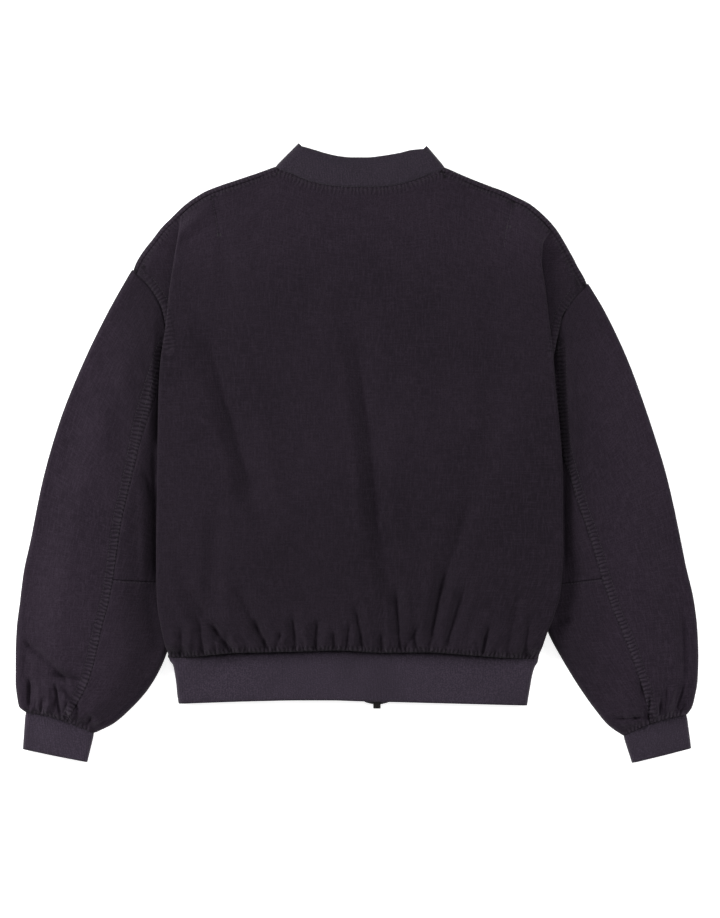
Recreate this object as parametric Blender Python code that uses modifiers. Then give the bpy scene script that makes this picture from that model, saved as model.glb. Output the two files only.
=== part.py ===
"""Bomber jacket of washed cotton, laid flat on its front, back panel up.

X runs across the jacket, +Y towards the collar, +Z up from the table.
Sizes are in millimetres here and become metres where a mesh is made.
An outward value is a distance from the middle towards either sleeve.
"""

import math
from collections import namedtuple

import bmesh
import bpy
import numpy as np
from mathutils import Matrix, Vector

MM = 0.001

# Walls and edges
CLOTH = 1.4
RIB = 2.4
TAPE = 1.0
HALF_GAP = 0.2
RIM_GAP = 0.35
ARMHOLE_GAP = 0.35
EDGE_RADIUS = 6.0
WRAP_STEPS = 4
SHOULDER_TURNS = [0, 40, 90, 140, 172, 180]
SIDE_TURNS = [45, 82, 90]
WELD = 0.02

# The side folds of the back panel
FOLD_RADIUS = 3.0
CREASE_RADIUS = 1.2
FOLD_STEPS = 4
CREASE_STEPS = 3
TUCK_STEPS = 2
FOLD_START_TURN = 40.0
FOLD_GROWTH = 14.0
FOLD_TURNING = 38.0
FOLD_CLEARANCE = 0.5
FOLD_SETTLING = 15.0
STEEP_DEPTH = 4.0
TURNED_UNDER = 100.0
LEAST_RETURN = 0.02
MOST_RETURN = 0.6

# Back panel: how far from its seams the cloth reaches its height, and its columns
SEAM_RISE = 1.5
NECK_HALF_WIDTH = 95.0
NECK_BLEND = 50.0
HEM_BLEND = 16.0
HEM_FULLNESS = 0.8
EDGE_BLEND = 45.0
FOLDS_FROM_TOP = 20.0
FOLDS_FROM_HEM = 5.0
LEVEL_Y = 110.0
TOP_GAP = 0.24
MIDDLE_COLUMNS = 47
MIDDLE_ROWS = 9
HEM_COLUMNS = 93
HEM_ROWS = 6

# Front zip
ZIP_TOP = 247.0
ZIP_HALF_WIDTH = 5.0
TAPE_EDGE = 1.5
TAPE_WIDTH = 14.0
TAPE_LIFT = 1.7
ZIP_BUMP = 3.5
BUMP_FLAT = 15.6
BUMP_REACH = 28.6
BUMP_START = 160.0
BUMP_FULL = 195.0
BUMP_FADE = 260.0
BUMP_END = 300.0
TAPE_TOP_STEPS = [1.0, 4.0]
TAPE_OVER_HEM = [10.0, 3.0]
TAPE_STEP_OFF = 12.0
TAPE_STEP_UP = 7.0
SLIDER_LENGTH = 12.0
SLIDER_HALF_WIDTH = 4.4
SLIDER_LOW = 3.4
SLIDER_HEIGHT = 4.6
SLIDER_BELOW_TOP = 2.0
PLATE = 1.2
BRIDGE = 1.2
BRIDGE_LENGTH = 3.0
OVERLAP = 0.3
LUG_INNER = 1.9
LUG_OUTER = 2.8
LUG_HALF_LENGTH = 1.3
LUG_DROP = 1.2
PIN_FROM_END = 5.0
PIN_RADIUS = 0.6
PULL_LEVEL = 1.7
PULL_LENGTH = 30.0
PULL_HALF_WIDTH = 3.4
PULL_THICKNESS = 1.2
PULL_NECK = 4.4
PULL_SHOULDER = 4.0
EYE_INNER = 0.9
EYE_OUTER = 1.5
EYE_PLAY = 0.35
EYE_SIDES = 16
BOX_TOP = -283.0
BOX_BOTTOM = -293.0
BOX_HALF_WIDTH = 4.2
BOX_LOW = 0.4
BOX_ABOVE_TAPE = 0.9
ROD_SIDES = 12

Point = namedtuple("Point", "out y")
Depth = namedtuple("Depth", "y depth")
Height = namedtuple("Height", "y left middle right")
Edge = namedtuple("Edge", "y out top")
Ring = namedtuple("Ring", "outer_out outer_y inner_out inner_y radius top tuck bow")
Fold = namedtuple("Fold", "x0 y0 x1 y1 half_width depth")
RibSide = namedtuple("RibSide", "below left right")
Curve = namedtuple("Curve", "x y")

# Shoulder edge, from the neck to the armhole. The side fold starts at the eighth point.
SHOULDER = {
    "left": [
        Point(94, 328), Point(116, 320), Point(137, 313), Point(155, 307), Point(173, 300),
        Point(185, 293), Point(195, 286), Point(204, 278), Point(211, 271), Point(224, 258),
        Point(234, 245), Point(245, 231), Point(253, 218), Point(258, 210),
    ],
    "right": [
        Point(101, 327), Point(131, 314), Point(149, 307), Point(168, 300), Point(183, 293),
        Point(197, 286), Point(212, 274), Point(227, 258), Point(235, 246), Point(243, 232),
        Point(248, 223), Point(253, 213), Point(259, 203), Point(265, 194),
    ],
}
FOLD_START = 7
NECK_INWARD = Point(-0.75, -0.66)
NECK_POINTS = 2

# Neck seam across the back, and the front neckline from its side to the zip.
NECK_BACK = [
    Curve(-77, 320), Curve(-55, 311), Curve(-29, 305.5), Curve(-8, 304), Curve(18, 304),
    Curve(41, 305.5), Curve(60, 310), Curve(80, 317),
]
NECK_FRONT = {
    "left": [Point(83, 302), Point(65, 279), Point(37, 261), Point(12, 252)],
    "right": [Point(90, 302), Point(73, 279), Point(48, 261), Point(28, 252)],
}

# Top edge of the collar: its back, its corners and its front ends.
COLLAR_CORNER = {"left": Point(67, 355), "right": Point(80, 352)}
COLLAR_INWARD = Point(-0.69, -0.72)
COLLAR_BACK = [
    Curve(-50, 347), Curve(-35, 342.5), Curve(-18, 339), Curve(-6, 338), Curve(12, 338),
    Curve(30, 340), Curve(48, 343), Curve(63, 346.5),
]
COLLAR_FRONT = {
    "left": [Point(57, 331), Point(45, 311), Point(25, 296), Point(4, 288)],
    "right": [Point(70, 331), Point(59, 311), Point(41, 296), Point(22, 288)],
}

# Outer edge of each side fold of the back, and the height of the cloth there.
FOLD_EDGE = {
    "left": [
        Edge(277, 200, 12), Edge(256, 203, 17), Edge(227, 208, 20.4), Edge(187, 214, 21),
        Edge(141, 219, 21), Edge(99, 225, 21), Edge(57, 227, 21), Edge(-28, 228, 21),
        Edge(-111, 229, 23.5), Edge(-168, 228, 25.5), Edge(-201, 223, 25.5), Edge(-231, 216, 25),
    ],
    "right": [
        Edge(258, 222, 12), Edge(240, 212, 17), Edge(219, 211, 20.4), Edge(189, 215, 21),
        Edge(154, 219, 21), Edge(130, 222, 21), Edge(73, 227, 21), Edge(23, 232, 21),
        Edge(-28, 235, 21), Edge(-117, 235, 23.5), Edge(-158, 232, 25.5), Edge(-187, 224, 25.5),
        Edge(-205, 217, 25), Edge(-232, 208, 24),
    ],
}
FOLD_DEPTH = [
    Depth(280, 0), Depth(258, 3), Depth(231, 9), Depth(205, 15), Depth(150, 25),
    Depth(107, 31), Depth(61, 35), Depth(20, 38), Depth(-9, 38),
]

# Middle of the front zip, from its top to the hem.
ZIP_COURSE = [Curve(8, 249), Curve(23, -288)]

# Side seam, from the underarm to the hem, and the stations of the seam lines.
SIDE_SEAM = {
    "left": [Point(186, -8), Point(185, -54), Point(191, -123), Point(202, -192), Point(216, -234)],
    "right": [Point(194, -9), Point(193, -54), Point(197, -123), Point(207, -180), Point(208, -235)],
}
UNDERARM_TURNS = [45, 90]
ARMHOLE_STATIONS = [0.08, 0.16, 0.26, 0.38, 0.52, 0.67, 0.82, 0.93, 1.0]
SIDE_STATIONS = [-40, -75, -105, -132]
HEM_STATIONS = [72, 54, 39, 27, 17, 9, 4, 0]

HEM_SEAM = [
    Curve(-217, -234), Curve(-197, -234), Curve(-141, -229.5), Curve(-77, -228), Curve(-20, -226.5),
    Curve(29, -229), Curve(77, -228.5), Curve(125, -231.5), Curve(173, -235), Curve(209, -236),
]
HEM_EDGE = [
    Curve(-205, -287), Curve(-117, -284), Curve(-65, -283), Curve(-29, -283), Curve(3, -284),
    Curve(45, -285), Curve(122, -287), Curve(196, -289),
]
HEM_SIDE = [
    RibSide(0, 216, 208), RibSide(2, 216, 208), RibSide(7, 211.5, 204.5), RibSide(18, 209, 201),
    RibSide(32, 207, 198.5), RibSide(44, 206, 196.5), RibSide(54, 204.5, 195),
]

# Height of the back panel away from its seams.
BACK_HEIGHT = [
    Height(280, 15, 17, 15), Height(210, 20, 19, 20), Height(140, 21, 20, 21),
    Height(60, 21, 20, 21.5), Height(-30, 21.5, 20.5, 22), Height(-110, 24, 22, 24),
    Height(-170, 25.5, 24.5, 25.5), Height(-235, 25.5, 25.5, 25),
]
BACK_FOLDS = [
    Fold(-152, 250, -150, 190, 12, 1.6), Fold(-165, 150, -134, 30, 18, 2.6),
    Fold(-136, 50, -124, -40, 16, 3.2), Fold(-128, -20, -96, -90, 14, 2.8),
    Fold(-8, 190, 10, 100, 16, 1.8), Fold(6, 125, 24, 10, 12, 3.4),
    Fold(23, 30, 25, -80, 11, 3.8), Fold(24, -60, 44, -195, 10, 3.6),
    Fold(70, 130, 60, -10, 20, -1.6), Fold(60, 40, 70, -120, 22, 2.0),
    Fold(150, 180, 160, -20, 18, 1.6), Fold(160, 60, 122, -90, 14, 1.8),
    Fold(128, -60, 94, -164, 11, 3.0), Fold(100, -130, 82, -225, 7, 6.0),
    Fold(124, -146, 98, -228, 7, 4.6), Fold(70, -198, 52, -228, 6, 4.5),
    Fold(45, -155, 49, -228, 6, 5.0), Fold(-2, -176, 7, -226, 6, 5.0),
    Fold(-9, -194, -12, -226, 5, 4.5), Fold(-27, -204, -27, -228, 5, 4.0),
    Fold(-45, -190, -49, -228, 6, 5.5), Fold(-74, -186, -69, -228, 6, 5.5),
    Fold(-139, -150, -110, -205, 10, 4.0), Fold(-118, -192, -99, -228, 7, 6.0),
    Fold(-190, -160, -158, -208, 10, 4.0), Fold(-166, -196, -140, -230, 7, 6.0),
    Fold(-205, -120, -180, -192, 12, 2.6), Fold(-181, -186, -175, -232, 6, 4.5),
    Fold(151, -196, 142, -230, 6, 5.0), Fold(184, -160, 170, -232, 8, 3.4),
    Fold(196, -190, 190, -233, 5, 3.5), Fold(-200, -200, -201, -233, 5, 3.5),
    Fold(28, -206, 29, -228, 5, 4.0), Fold(66, -208, 68, -228, 5, 3.5),
]

# Armhole curve: how far the seam leaves the straight line from shoulder to underarm.
BOW_SHAPE = [Curve(0, 0), Curve(0.1, 0.72), Curve(0.2, 1), Curve(0.3, 0.88), Curve(0.47, 0.56),
             Curve(0.68, 0.3), Curve(0.87, 0.1), Curve(1, 0)]
ARMHOLE_BOW = {"left": 20.0, "right": 16.0}
CUFF_BOW = 4.0

SLEEVE = {
    "left": [
        Ring(258, 210, 186, -8, 6, 13.5, 163, 1), Ring(285, 162, 188, -39, 6, 16, 94, 0.6),
        Ring(312, 107, 189, -68, 6, 19, 66, 0.3), Ring(340, 38, 192, -94, 6, 21, 49, 0.1),
        Ring(360, -31, 194, -121, 6, 22.5, 40, 0), Ring(374, -100, 196, -140, 6, 23.5, 34, 0),
        Ring(382, -137, 197, -150, 6, 24, 31, 0), Ring(386, -169, 202, -174, 6, 24.5, 26, 0),
        Ring(390, -203, 210, -205, 6.5, 25, 14, 0), Ring(391, -232, 222, -240, 7, 25.5, 4, 0),
        Ring(391, -261, 238, -269, 7.5, 26, 0, 0), Ring(389, -280, 259, -293, 8, 26, 0, 0),
        Ring(387, -290, 279, -310, 8, 23, 0, 0), Ring(380, -297, 301, -321, 5, 12, 0, 0),
    ],
    "right": [
        Ring(265, 194, 194, -9, 6, 13.5, 173, 1), Ring(284, 162, 196, -39, 6, 16, 95, 0.6),
        Ring(310, 107, 197, -68, 6, 19, 66, 0.3), Ring(335, 38, 200, -94, 6, 21, 50, 0.1),
        Ring(356, -31, 202, -121, 6, 22.5, 40, 0), Ring(371, -100, 204, -140, 6, 23.5, 34, 0),
        Ring(377, -130, 205, -153, 6, 24, 31, 0), Ring(386, -169, 210, -177, 6, 24.5, 20, 0),
        Ring(390, -203, 219, -206, 6.5, 25, 5, 0), Ring(391, -232, 236, -238, 7, 25.5, 0, 0),
        Ring(390, -261, 255, -269, 7.5, 26, 0, 0), Ring(387, -278, 272, -293, 8, 26, 0, 0),
        Ring(384, -290, 288, -312, 8, 23, 0, 0), Ring(378, -300, 305, -324, 5, 12, 0, 0),
    ],
}
RING_STATIONS = [0, 1, 2, 3, 4, 5, 6, 7, 8, 9, 10, 11, 11.6, 12, 12.5, 13]
CROSS_SEAM_RING = 6
GATHER_RING = 10
BOW_RING = 11
BOW_RINGS = 2
BACK_SEAM_STATION = 3
FRONT_SEAM_STATION = 5

# The three panels of a sleeve: the outer one, and the inner one above and below its cross seam.
SLEEVE_PARTS = {
    "main": {"first": 0, "last": 13, "outer": True},
    "under_upper": {"first": 0, "last": CROSS_SEAM_RING, "outer": False},
    "under_lower": {"first": CROSS_SEAM_RING, "last": 13, "outer": False},
}
PANEL_COLUMNS = {
    "outer": {"top": 8, "gathered": 19, "under": 4},
    "inner": {"top": 4, "gathered": 11, "under": 3},
}
BACK_SEAM = {
    "left": [
        Point(217, 124), Point(228, 93), Point(239, 57), Point(246, 32), Point(251, 5),
        Point(263, -54), Point(267, -69), Point(278, -146), Point(284, -176), Point(293, -209),
        Point(301, -247), Point(309, -269), Point(320, -288), Point(328, -304),
    ],
    "right": [
        Point(228, 124), Point(231, 61), Point(234, 15), Point(238, -7), Point(246, -36),
        Point(256, -69), Point(265, -94), Point(272, -119), Point(279, -142), Point(293, -184),
        Point(307, -215), Point(318, -248), Point(328, -277), Point(334, -309),
    ],
}
SLEEVE_RISE = 45.0
SLEEVE_FALL = 50.0
SLEEVE_FALL_SHARE = 0.45
FOLDS_FROM_EDGE = 12.0
SLEEVE_FOLDS = {
    "left": [
        Fold(-386, -212, -348, -240, 7, 5.0), Fold(-350, -238, -318, -262, 8, 5.0),
        Fold(-372, -262, -368, -298, 6, 6.0), Fold(-346, -258, -350, -300, 5, 5.0),
        Fold(-336, -262, -334, -304, 5, 5.5), Fold(-320, -280, -318, -312, 5, 5.0),
        Fold(-300, -290, -306, -318, 6, 5.0), Fold(-358, -276, -360, -300, 4, 3.5),
        Fold(-290, 120, -262, -10, 16, 2.5), Fold(-330, 90, -352, -30, 12, -2.0),
    ],
    "right": [
        Fold(387, -262, 372, -298, 6, 6.0), Fold(322, -258, 330, -308, 5, 7.0),
        Fold(334, -282, 333, -308, 5, 5.0), Fold(347, -286, 345, -306, 4, 4.0),
        Fold(366, -272, 356, -304, 5, 4.5), Fold(285, -304, 312, -304, 5, 5.0),
        Fold(300, -296, 306, -322, 5, 3.0), Fold(362, -150, 372, -240, 8, 2.2),
        Fold(214, -192, 250, -190, 6, 2.5), Fold(276, 150, 300, 90, 10, -1.6),
    ],
}
CUFF_END = {
    "left": Ring(383, -339, 309, -354, 5, 12, 0, 0),
    "right": Ring(383, -338, 315, -355, 5, 12, 0, 0),
}
CUFF_STATIONS = [0, 0.12, 0.4, 0.7, 1]
CUFF_TOP_COLUMNS = 9
CUFF_UNDER_COLUMNS = 5
LIFT_END = 20.0
FRONT_SKIPS = (2, 4, 6)
SEAM_TRIM = 0.3
UNDERARM_TRIM = 1.15
FRONT_COLUMNS = {
    "left": [0, 0.04, 0.1, 0.2, 0.35, 0.45, 0.62, 0.8, 1],
    "right": [0, 0.04, 0.1, 0.2, 0.32, 0.45, 0.62, 0.8, 1],
}
COLLAR_STATIONS = [0, 0.3, 0.65, 1]
COLLAR_ROLL = 1.2
COLLAR_DIP = 1.0
HEM_RIB_STATIONS = [0, 2, 7, 20, 37, 54]
HEM_TUCK = 1.0
HEM_DROP = 5.5
RIB_RISE = 0.8
HEM_RIB_END = 54.0
HEM_DROP_WIDTH = 13.0
HEM_FRONT_STEPS = [0, 6, 12, 20]
HEM_FRONT_START = 50.0
HEM_FRONT_COLUMNS = 5
HEM_BACK_COLUMNS = 19
HEM_ZIP_Y = -228.0

COLOURS = {
    "cloth": (0.0212, 0.0168, 0.0232),
    "rib": (0.0400, 0.0307, 0.0444),
    "tape": (0.0130, 0.0110, 0.0140),
    "metal": (0.0900, 0.0850, 0.0850),
}
SIGN = {"left": -1, "right": 1}


def smooth(xs, ys, at):
    """A curve through the stations that never swings past them."""
    xs, ys = np.asarray(xs, float), np.asarray(ys, float)
    if xs[0] > xs[-1]:
        xs, ys = xs[::-1], ys[::-1]
    at = np.clip(np.asarray(at, float), xs[0], xs[-1])
    step = np.diff(xs)
    slope = np.diff(ys) / step
    tangent = np.concatenate([slope[:1], np.zeros(len(xs) - 2), slope[-1:]])
    for i in range(1, len(xs) - 1):
        if slope[i - 1] * slope[i] > 0:
            before, after = 2 * step[i] + step[i - 1], step[i] + 2 * step[i - 1]
            tangent[i] = (before + after) / (before / slope[i - 1] + after / slope[i])
    i = np.clip(np.searchsorted(xs, at, side="right") - 1, 0, len(xs) - 2)
    t = (at - xs[i]) / step[i]
    return (
        ys[i] * (1 + 2 * t) * (1 - t) ** 2
        + ys[i + 1] * t * t * (3 - 2 * t)
        + step[i] * (tangent[i] * t * (1 - t) ** 2 - tangent[i + 1] * t * t * (1 - t))
    )


def read(table, key, name, at):
    """One column of a table, read between its rows."""
    return smooth([getattr(row, key) for row in table], [getattr(row, name) for row in table], at)


def ease(value):
    """0 below 0, 1 above 1, and a soft step between."""
    t = np.clip(value, 0, 1)
    return t * t * (3 - 2 * t)


def blend(a, b, t):
    return a + (b - a) * t


def fold_depth(folds, x, y):
    """How far a set of folds pulls the cloth down at (x, y)."""
    total = np.zeros(np.broadcast(x, y).shape)
    for fold in folds:
        along = np.array([fold.x1 - fold.x0, fold.y1 - fold.y0], float)
        length = np.hypot(*along)
        along /= length
        travel = ((x - fold.x0) * along[0] + (y - fold.y0) * along[1]) / length
        across = np.abs((y - fold.y0) * along[0] - (x - fold.x0) * along[1])
        profile = np.clip(1 - (across / fold.half_width) ** 2, 0, 1) ** 2
        ends = ease((travel + 0.15) / 0.45) * ease((1.1 - travel) / 0.3)
        total += fold.depth * profile * ends
    return total


class Sheet:
    """An open surface laid row by row."""

    def __init__(self):
        self.points = []
        self.faces = []

    def row(self, places, points):
        first = len(self.points)
        self.points.extend(tuple(map(float, point)) for point in points)
        return list(zip(map(float, places), range(first, len(self.points))))

    def join(self, one, two):
        """Fills the strip between two rows, quads where their places agree."""
        i = j = 0
        while i < len(one) - 1 or j < len(two) - 1:
            reach_one = one[i + 1][0] if i < len(one) - 1 else math.inf
            reach_two = two[j + 1][0] if j < len(two) - 1 else math.inf
            if abs(reach_one - reach_two) < 1e-6:
                self.faces.append((one[i][1], one[i + 1][1], two[j + 1][1], two[j][1]))
                i, j = i + 1, j + 1
            elif reach_one < reach_two:
                self.faces.append((one[i][1], one[i + 1][1], two[j][1]))
                i += 1
            else:
                self.faces.append((one[i][1], two[j + 1][1], two[j][1]))
                j += 1

    def lay(self, rows):
        laid = [self.row(places, points) for places, points in rows]
        for one, two in zip(laid, laid[1:]):
            self.join(one, two)
        return laid


def facing(form):
    """Above 0 where the high faces look up and the low ones down, as the outside of the jacket does."""
    total = 0.0
    for face in form.faces:
        height = face.calc_center_median().z - EDGE_RADIUS * MM
        total += face.calc_area() * face.normal.z * height
    return total


def finish(name, surface, thickness, material):
    """Makes the sheet one mesh facing out, and gives it its wall."""
    mesh = bpy.data.meshes.new(name)
    mesh.from_pydata([(x * MM, y * MM, z * MM) for x, y, z in surface.points], [], surface.faces)
    form = bmesh.new()
    form.from_mesh(mesh)
    bmesh.ops.remove_doubles(form, verts=form.verts, dist=WELD * MM)
    bmesh.ops.dissolve_degenerate(form, edges=form.edges, dist=WELD * MM)
    bmesh.ops.recalc_face_normals(form, faces=form.faces)
    if facing(form) < 0:
        bmesh.ops.reverse_faces(form, faces=form.faces)
    form.to_mesh(mesh)
    form.free()
    mesh.shade_smooth()
    piece = add_object(name, mesh, material)
    wall = piece.modifiers.new("Wall", "SOLIDIFY")
    wall.thickness = thickness * MM
    wall.offset = -1
    return piece


def add_object(name, mesh, material):
    piece = bpy.data.objects.new(name, mesh)
    parts.objects.link(piece)
    piece.data.materials.clear()
    piece.data.materials.append(material)
    return piece


def make_material(name, colour, roughness, metallic=0.0):
    material = bpy.data.materials.new(name)
    material.use_nodes = True
    shader = material.node_tree.nodes["Principled BSDF"]
    shader.inputs["Base Color"].default_value = (*colour, 1)
    shader.inputs["Roughness"].default_value = roughness
    shader.inputs["Metallic"].default_value = metallic
    return material


# The body's lines, shared by the pieces that meet there


def zip_line(y):
    """Where the middle of the zip lies at a height on the front."""
    return read(ZIP_COURSE, "y", "x", y)


def zip_bump(x, y):
    """The fronts rise a little over the slider and its pull."""
    across = ease((BUMP_REACH - np.abs(x - zip_line(y))) / (BUMP_REACH - BUMP_FLAT))
    rising = ease((y - BUMP_START) / (BUMP_FULL - BUMP_START))
    falling = ease((BUMP_END - y) / (BUMP_END - BUMP_FADE))
    return ZIP_BUMP * across * rising * falling


def hem_seam(x):
    return read(HEM_SEAM, "x", "y", x)


def neck_height(x):
    return 2 * EDGE_RADIUS + SEAM_RISE * np.clip(1 - (x / NECK_HALF_WIDTH) ** 2, 0, 1)


def armhole_point(side, share):
    """A point on the armhole's plan curve, from the underarm at 0 to the shoulder at 1."""
    ring = SLEEVE[side][0]
    out = blend(ring.inner_out, ring.outer_out, share)
    y = blend(ring.inner_y, ring.outer_y, share)
    return out - ARMHOLE_BOW[side] * read(BOW_SHAPE, "x", "y", 1 - share), y


def neckline(side, start, shift):
    """The front neckline from beside the zip to the shoulder, moved out from the neck."""
    corner = shoulder_wraps(side)[0][0]
    line = [(SIGN[side] * zip_line(ZIP_TOP) + start, ZIP_TOP)]
    line += [tuple(point) for point in reversed(NECK_FRONT[side])] + [corner[:2]]
    line = np.array(line, float)
    run = np.gradient(line, axis=0)
    away = np.column_stack([run[:, 1], -run[:, 0]])
    away[0] = away[-1] = 0
    away[0, 1] = -1
    away[-1] = (1, -0.3)
    return line + shift * away / np.linalg.norm(away, axis=1)[:, None]


def rounded_edge(point, inward):
    """The cross section of an edge at a point: from the table, round and up to the seam on top."""
    middle = np.array(point) + inward * EDGE_RADIUS
    return [
        (*(middle - inward * EDGE_RADIUS * math.sin(turn)), EDGE_RADIUS * (1 - math.cos(turn)))
        for turn in np.radians(SHOULDER_TURNS)
    ]


def ring_width(ring):
    return math.hypot(ring.outer_out - ring.inner_out, ring.outer_y - ring.inner_y)


def shoulder_wraps(side):
    """Cross sections of the shoulder edge: from the table, round the edge, to the seam on top."""
    edge = SHOULDER[side]
    turns = np.radians(SHOULDER_TURNS)
    wraps = []
    width = ring_width(SLEEVE[side][0])
    for k, point in enumerate(edge[:-1]):
        before, after = edge[max(k - 1, 0)], edge[k + 1]
        run = np.array([after.out - before.out, after.y - before.y], float)
        run /= np.hypot(*run)
        inward = np.array([run[1], -run[0]])
        share = ease(1 - k / NECK_POINTS)
        inward = inward * (1 - share) + np.array(NECK_INWARD) * share
        inward /= np.hypot(*inward)
        wraps.append(rounded_edge(point, inward))
    last = []
    for turn in turns:
        share = 1 - EDGE_RADIUS * (1 - math.sin(turn)) / width
        last.append((*armhole_point(side, share), EDGE_RADIUS * (1 - math.cos(turn))))
    wraps.append(last)
    return wraps


def armhole_stations(side):
    """Points down the armhole, each with its height on the back and on the front."""
    ring = SLEEVE[side][0]
    width = ring_width(ring)
    stations = []
    for station in ARMHOLE_STATIONS:
        along = blend(width - EDGE_RADIUS, EDGE_RADIUS, station)
        top = sleeve_top(ring, along, width)
        stations.append((*armhole_point(side, along / width), top, 0.0))
    for turn in UNDERARM_TURNS:
        sine, cosine = math.sin(math.radians(turn)), math.cos(math.radians(turn))
        point = armhole_point(side, EDGE_RADIUS * (1 - sine) / width)
        stations.append((*point, EDGE_RADIUS * (1 + cosine), EDGE_RADIUS * (1 - cosine)))
    return stations


def side_stations(side):
    """Points down the side seam, each (out, y), ending at the hem."""
    seam = SIDE_SEAM[side]
    sign = SIGN[side]
    ys = list(SIDE_STATIONS)
    for above in HEM_STATIONS:
        y = hem_seam(sign * seam[-1].out) + above
        ys.append(float(y))
    return [(float(read(seam, "y", "out", y)), y) for y in ys]


# Back panel


def fold_path(edge_out, top, turn, radius, depth, crease, end):
    """Section of a side fold: over the edge, back under, round the crease and on to the seam."""
    points = []
    centre = np.array([edge_out - radius, top - radius])
    for angle in np.linspace(0, turn, FOLD_STEPS + 1)[1:]:
        points.append(centre + radius * np.array([math.sin(angle), math.cos(angle)]))
    heading = np.array([math.cos(turn), -math.sin(turn)])
    start = points[-1] + depth * heading
    points.append(start)
    end = np.array(end, float)
    pivot = start + crease * np.array([math.sin(turn), math.cos(turn)])
    reach = end - pivot
    distance = float(np.hypot(*reach))
    straight = math.sqrt(max(distance**2 - crease**2, 0))
    bearing = math.atan2(reach[1], reach[0]) - math.atan2(straight, crease) + math.pi / 2
    back = (bearing + turn + math.pi) % (2 * math.pi) - math.pi
    if turn > math.radians(TURNED_UNDER) and back < 0:
        back += 2 * math.pi
    if distance <= crease + WELD or back <= LEAST_RETURN or back > turn + MOST_RETURN:
        for share in np.linspace(0, 1, CREASE_STEPS + TUCK_STEPS + 1)[1:]:
            points.append(blend(start, end, share))
        return np.array(points)
    for angle in np.linspace(0, back, CREASE_STEPS + 1)[1:]:
        course = angle - turn
        points.append(pivot + crease * np.array([math.sin(course), -math.cos(course)]))
    leave = points[-1]
    for share in np.linspace(0, 1, TUCK_STEPS + 1)[1:]:
        points.append(blend(leave, end, share))
    return np.array(points)


def fold_rows(side):
    """For each row of the back: where its side fold lies, and the fold's own section."""
    sign = SIGN[side]
    wraps = shoulder_wraps(side)
    ends = [(out, y, z) for out, y, z in (wrap[-1] for wrap in wraps[FOLD_START:])]
    ends += [(out, y, top) for out, y, top, _ in armhole_stations(side)]
    first_side = len(ends) - len(UNDERARM_TURNS)
    ends += [(out, y, EDGE_RADIUS) for out, y in side_stations(side)]
    start_out, start_y, _ = ends[0]
    hem_y = ends[-1][1]
    count = FOLD_STEPS + 1 + CREASE_STEPS + TUCK_STEPS
    rows = [(start_out, start_y, 2 * EDGE_RADIUS, [(start_out, 2 * EDGE_RADIUS)] * count)]
    for k, (out, y, z) in enumerate(ends[1:], start=1):
        below, above_hem = start_y - y, y - hem_y
        grow = ease(below / FOLD_GROWTH)
        edge = float(read(FOLD_EDGE[side], "y", "out", y))
        turn = math.radians(blend(FOLD_START_TURN, 180, ease(below / FOLD_TURNING)))
        radius = FOLD_RADIUS * grow
        crease = CREASE_RADIUS * grow
        depth = float(read(FOLD_DEPTH, "y", "depth", y))
        top = float(read(FOLD_EDGE[side], "y", "top", y))
        if k >= first_side:
            settle = ease(1 - above_hem / FOLD_SETTLING)
            radius = blend(FOLD_RADIUS, EDGE_RADIUS, settle)
            turn = math.radians(blend(180, 90, settle))
            top = blend(top, 2 * EDGE_RADIUS, ease(1 - above_hem / HEM_BLEND))
            edge = max(edge, out) if above_hem < 1 else edge
            depth = max(edge - radius - out - crease, 0) if turn > 3 else 0
        else:
            drop = radius * (1 - math.cos(turn)) + depth * math.sin(turn)
            drop += crease * (1 - math.cos(turn))
            top = z + FOLD_CLEARANCE * grow + drop
        depth = min(depth, STEEP_DEPTH / max(math.sin(turn), 1e-6))
        section = fold_path(edge, top, turn, radius, depth, crease, (out, z))
        section[-1] += HALF_GAP * unit(section[-2] - section[-1])
        rows.append((edge - radius, y, top, [tuple(point) for point in section]))
    return [
        (sign * out, y, top, [(sign * q, z) for q, z in reversed(section)])
        for out, y, top, section in rows
    ]


def unit(vector):
    length = float(np.linalg.norm(vector))
    return vector / length if length > 1e-9 else vector * 0


def back_seam_points():
    """The top edge of the back between its two side folds, from left to right."""
    left = [(-wrap[-1][0], wrap[-1][1]) for wrap in shoulder_wraps("left")[: FOLD_START + 1]]
    right = [(wrap[-1][0], wrap[-1][1]) for wrap in shoulder_wraps("right")[: FOLD_START + 1]]
    return left[::-1] + [tuple(point) for point in NECK_BACK] + right


def back_height(share, x, y, below_top, above_hem):
    """Height of the main layer of the back."""
    left = read(BACK_HEIGHT, "y", "left", y)
    middle = read(BACK_HEIGHT, "y", "middle", y)
    right = read(BACK_HEIGHT, "y", "right", y)
    side = np.where(share < 0.5, left, right)
    rise = blend(side, middle, ease(1 - np.abs(share - 0.5) * 2))
    near_seam = ease(above_hem / FOLDS_FROM_HEM) * ease(below_top / FOLDS_FROM_TOP)
    rise = rise - fold_depth(BACK_FOLDS, x, y) * near_seam
    top = neck_height(x)
    rise = blend(top, rise, ease(below_top / NECK_BLEND))
    return blend(2 * EDGE_RADIUS, rise, ease(above_hem / HEM_BLEND) ** HEM_FULLNESS)


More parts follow.
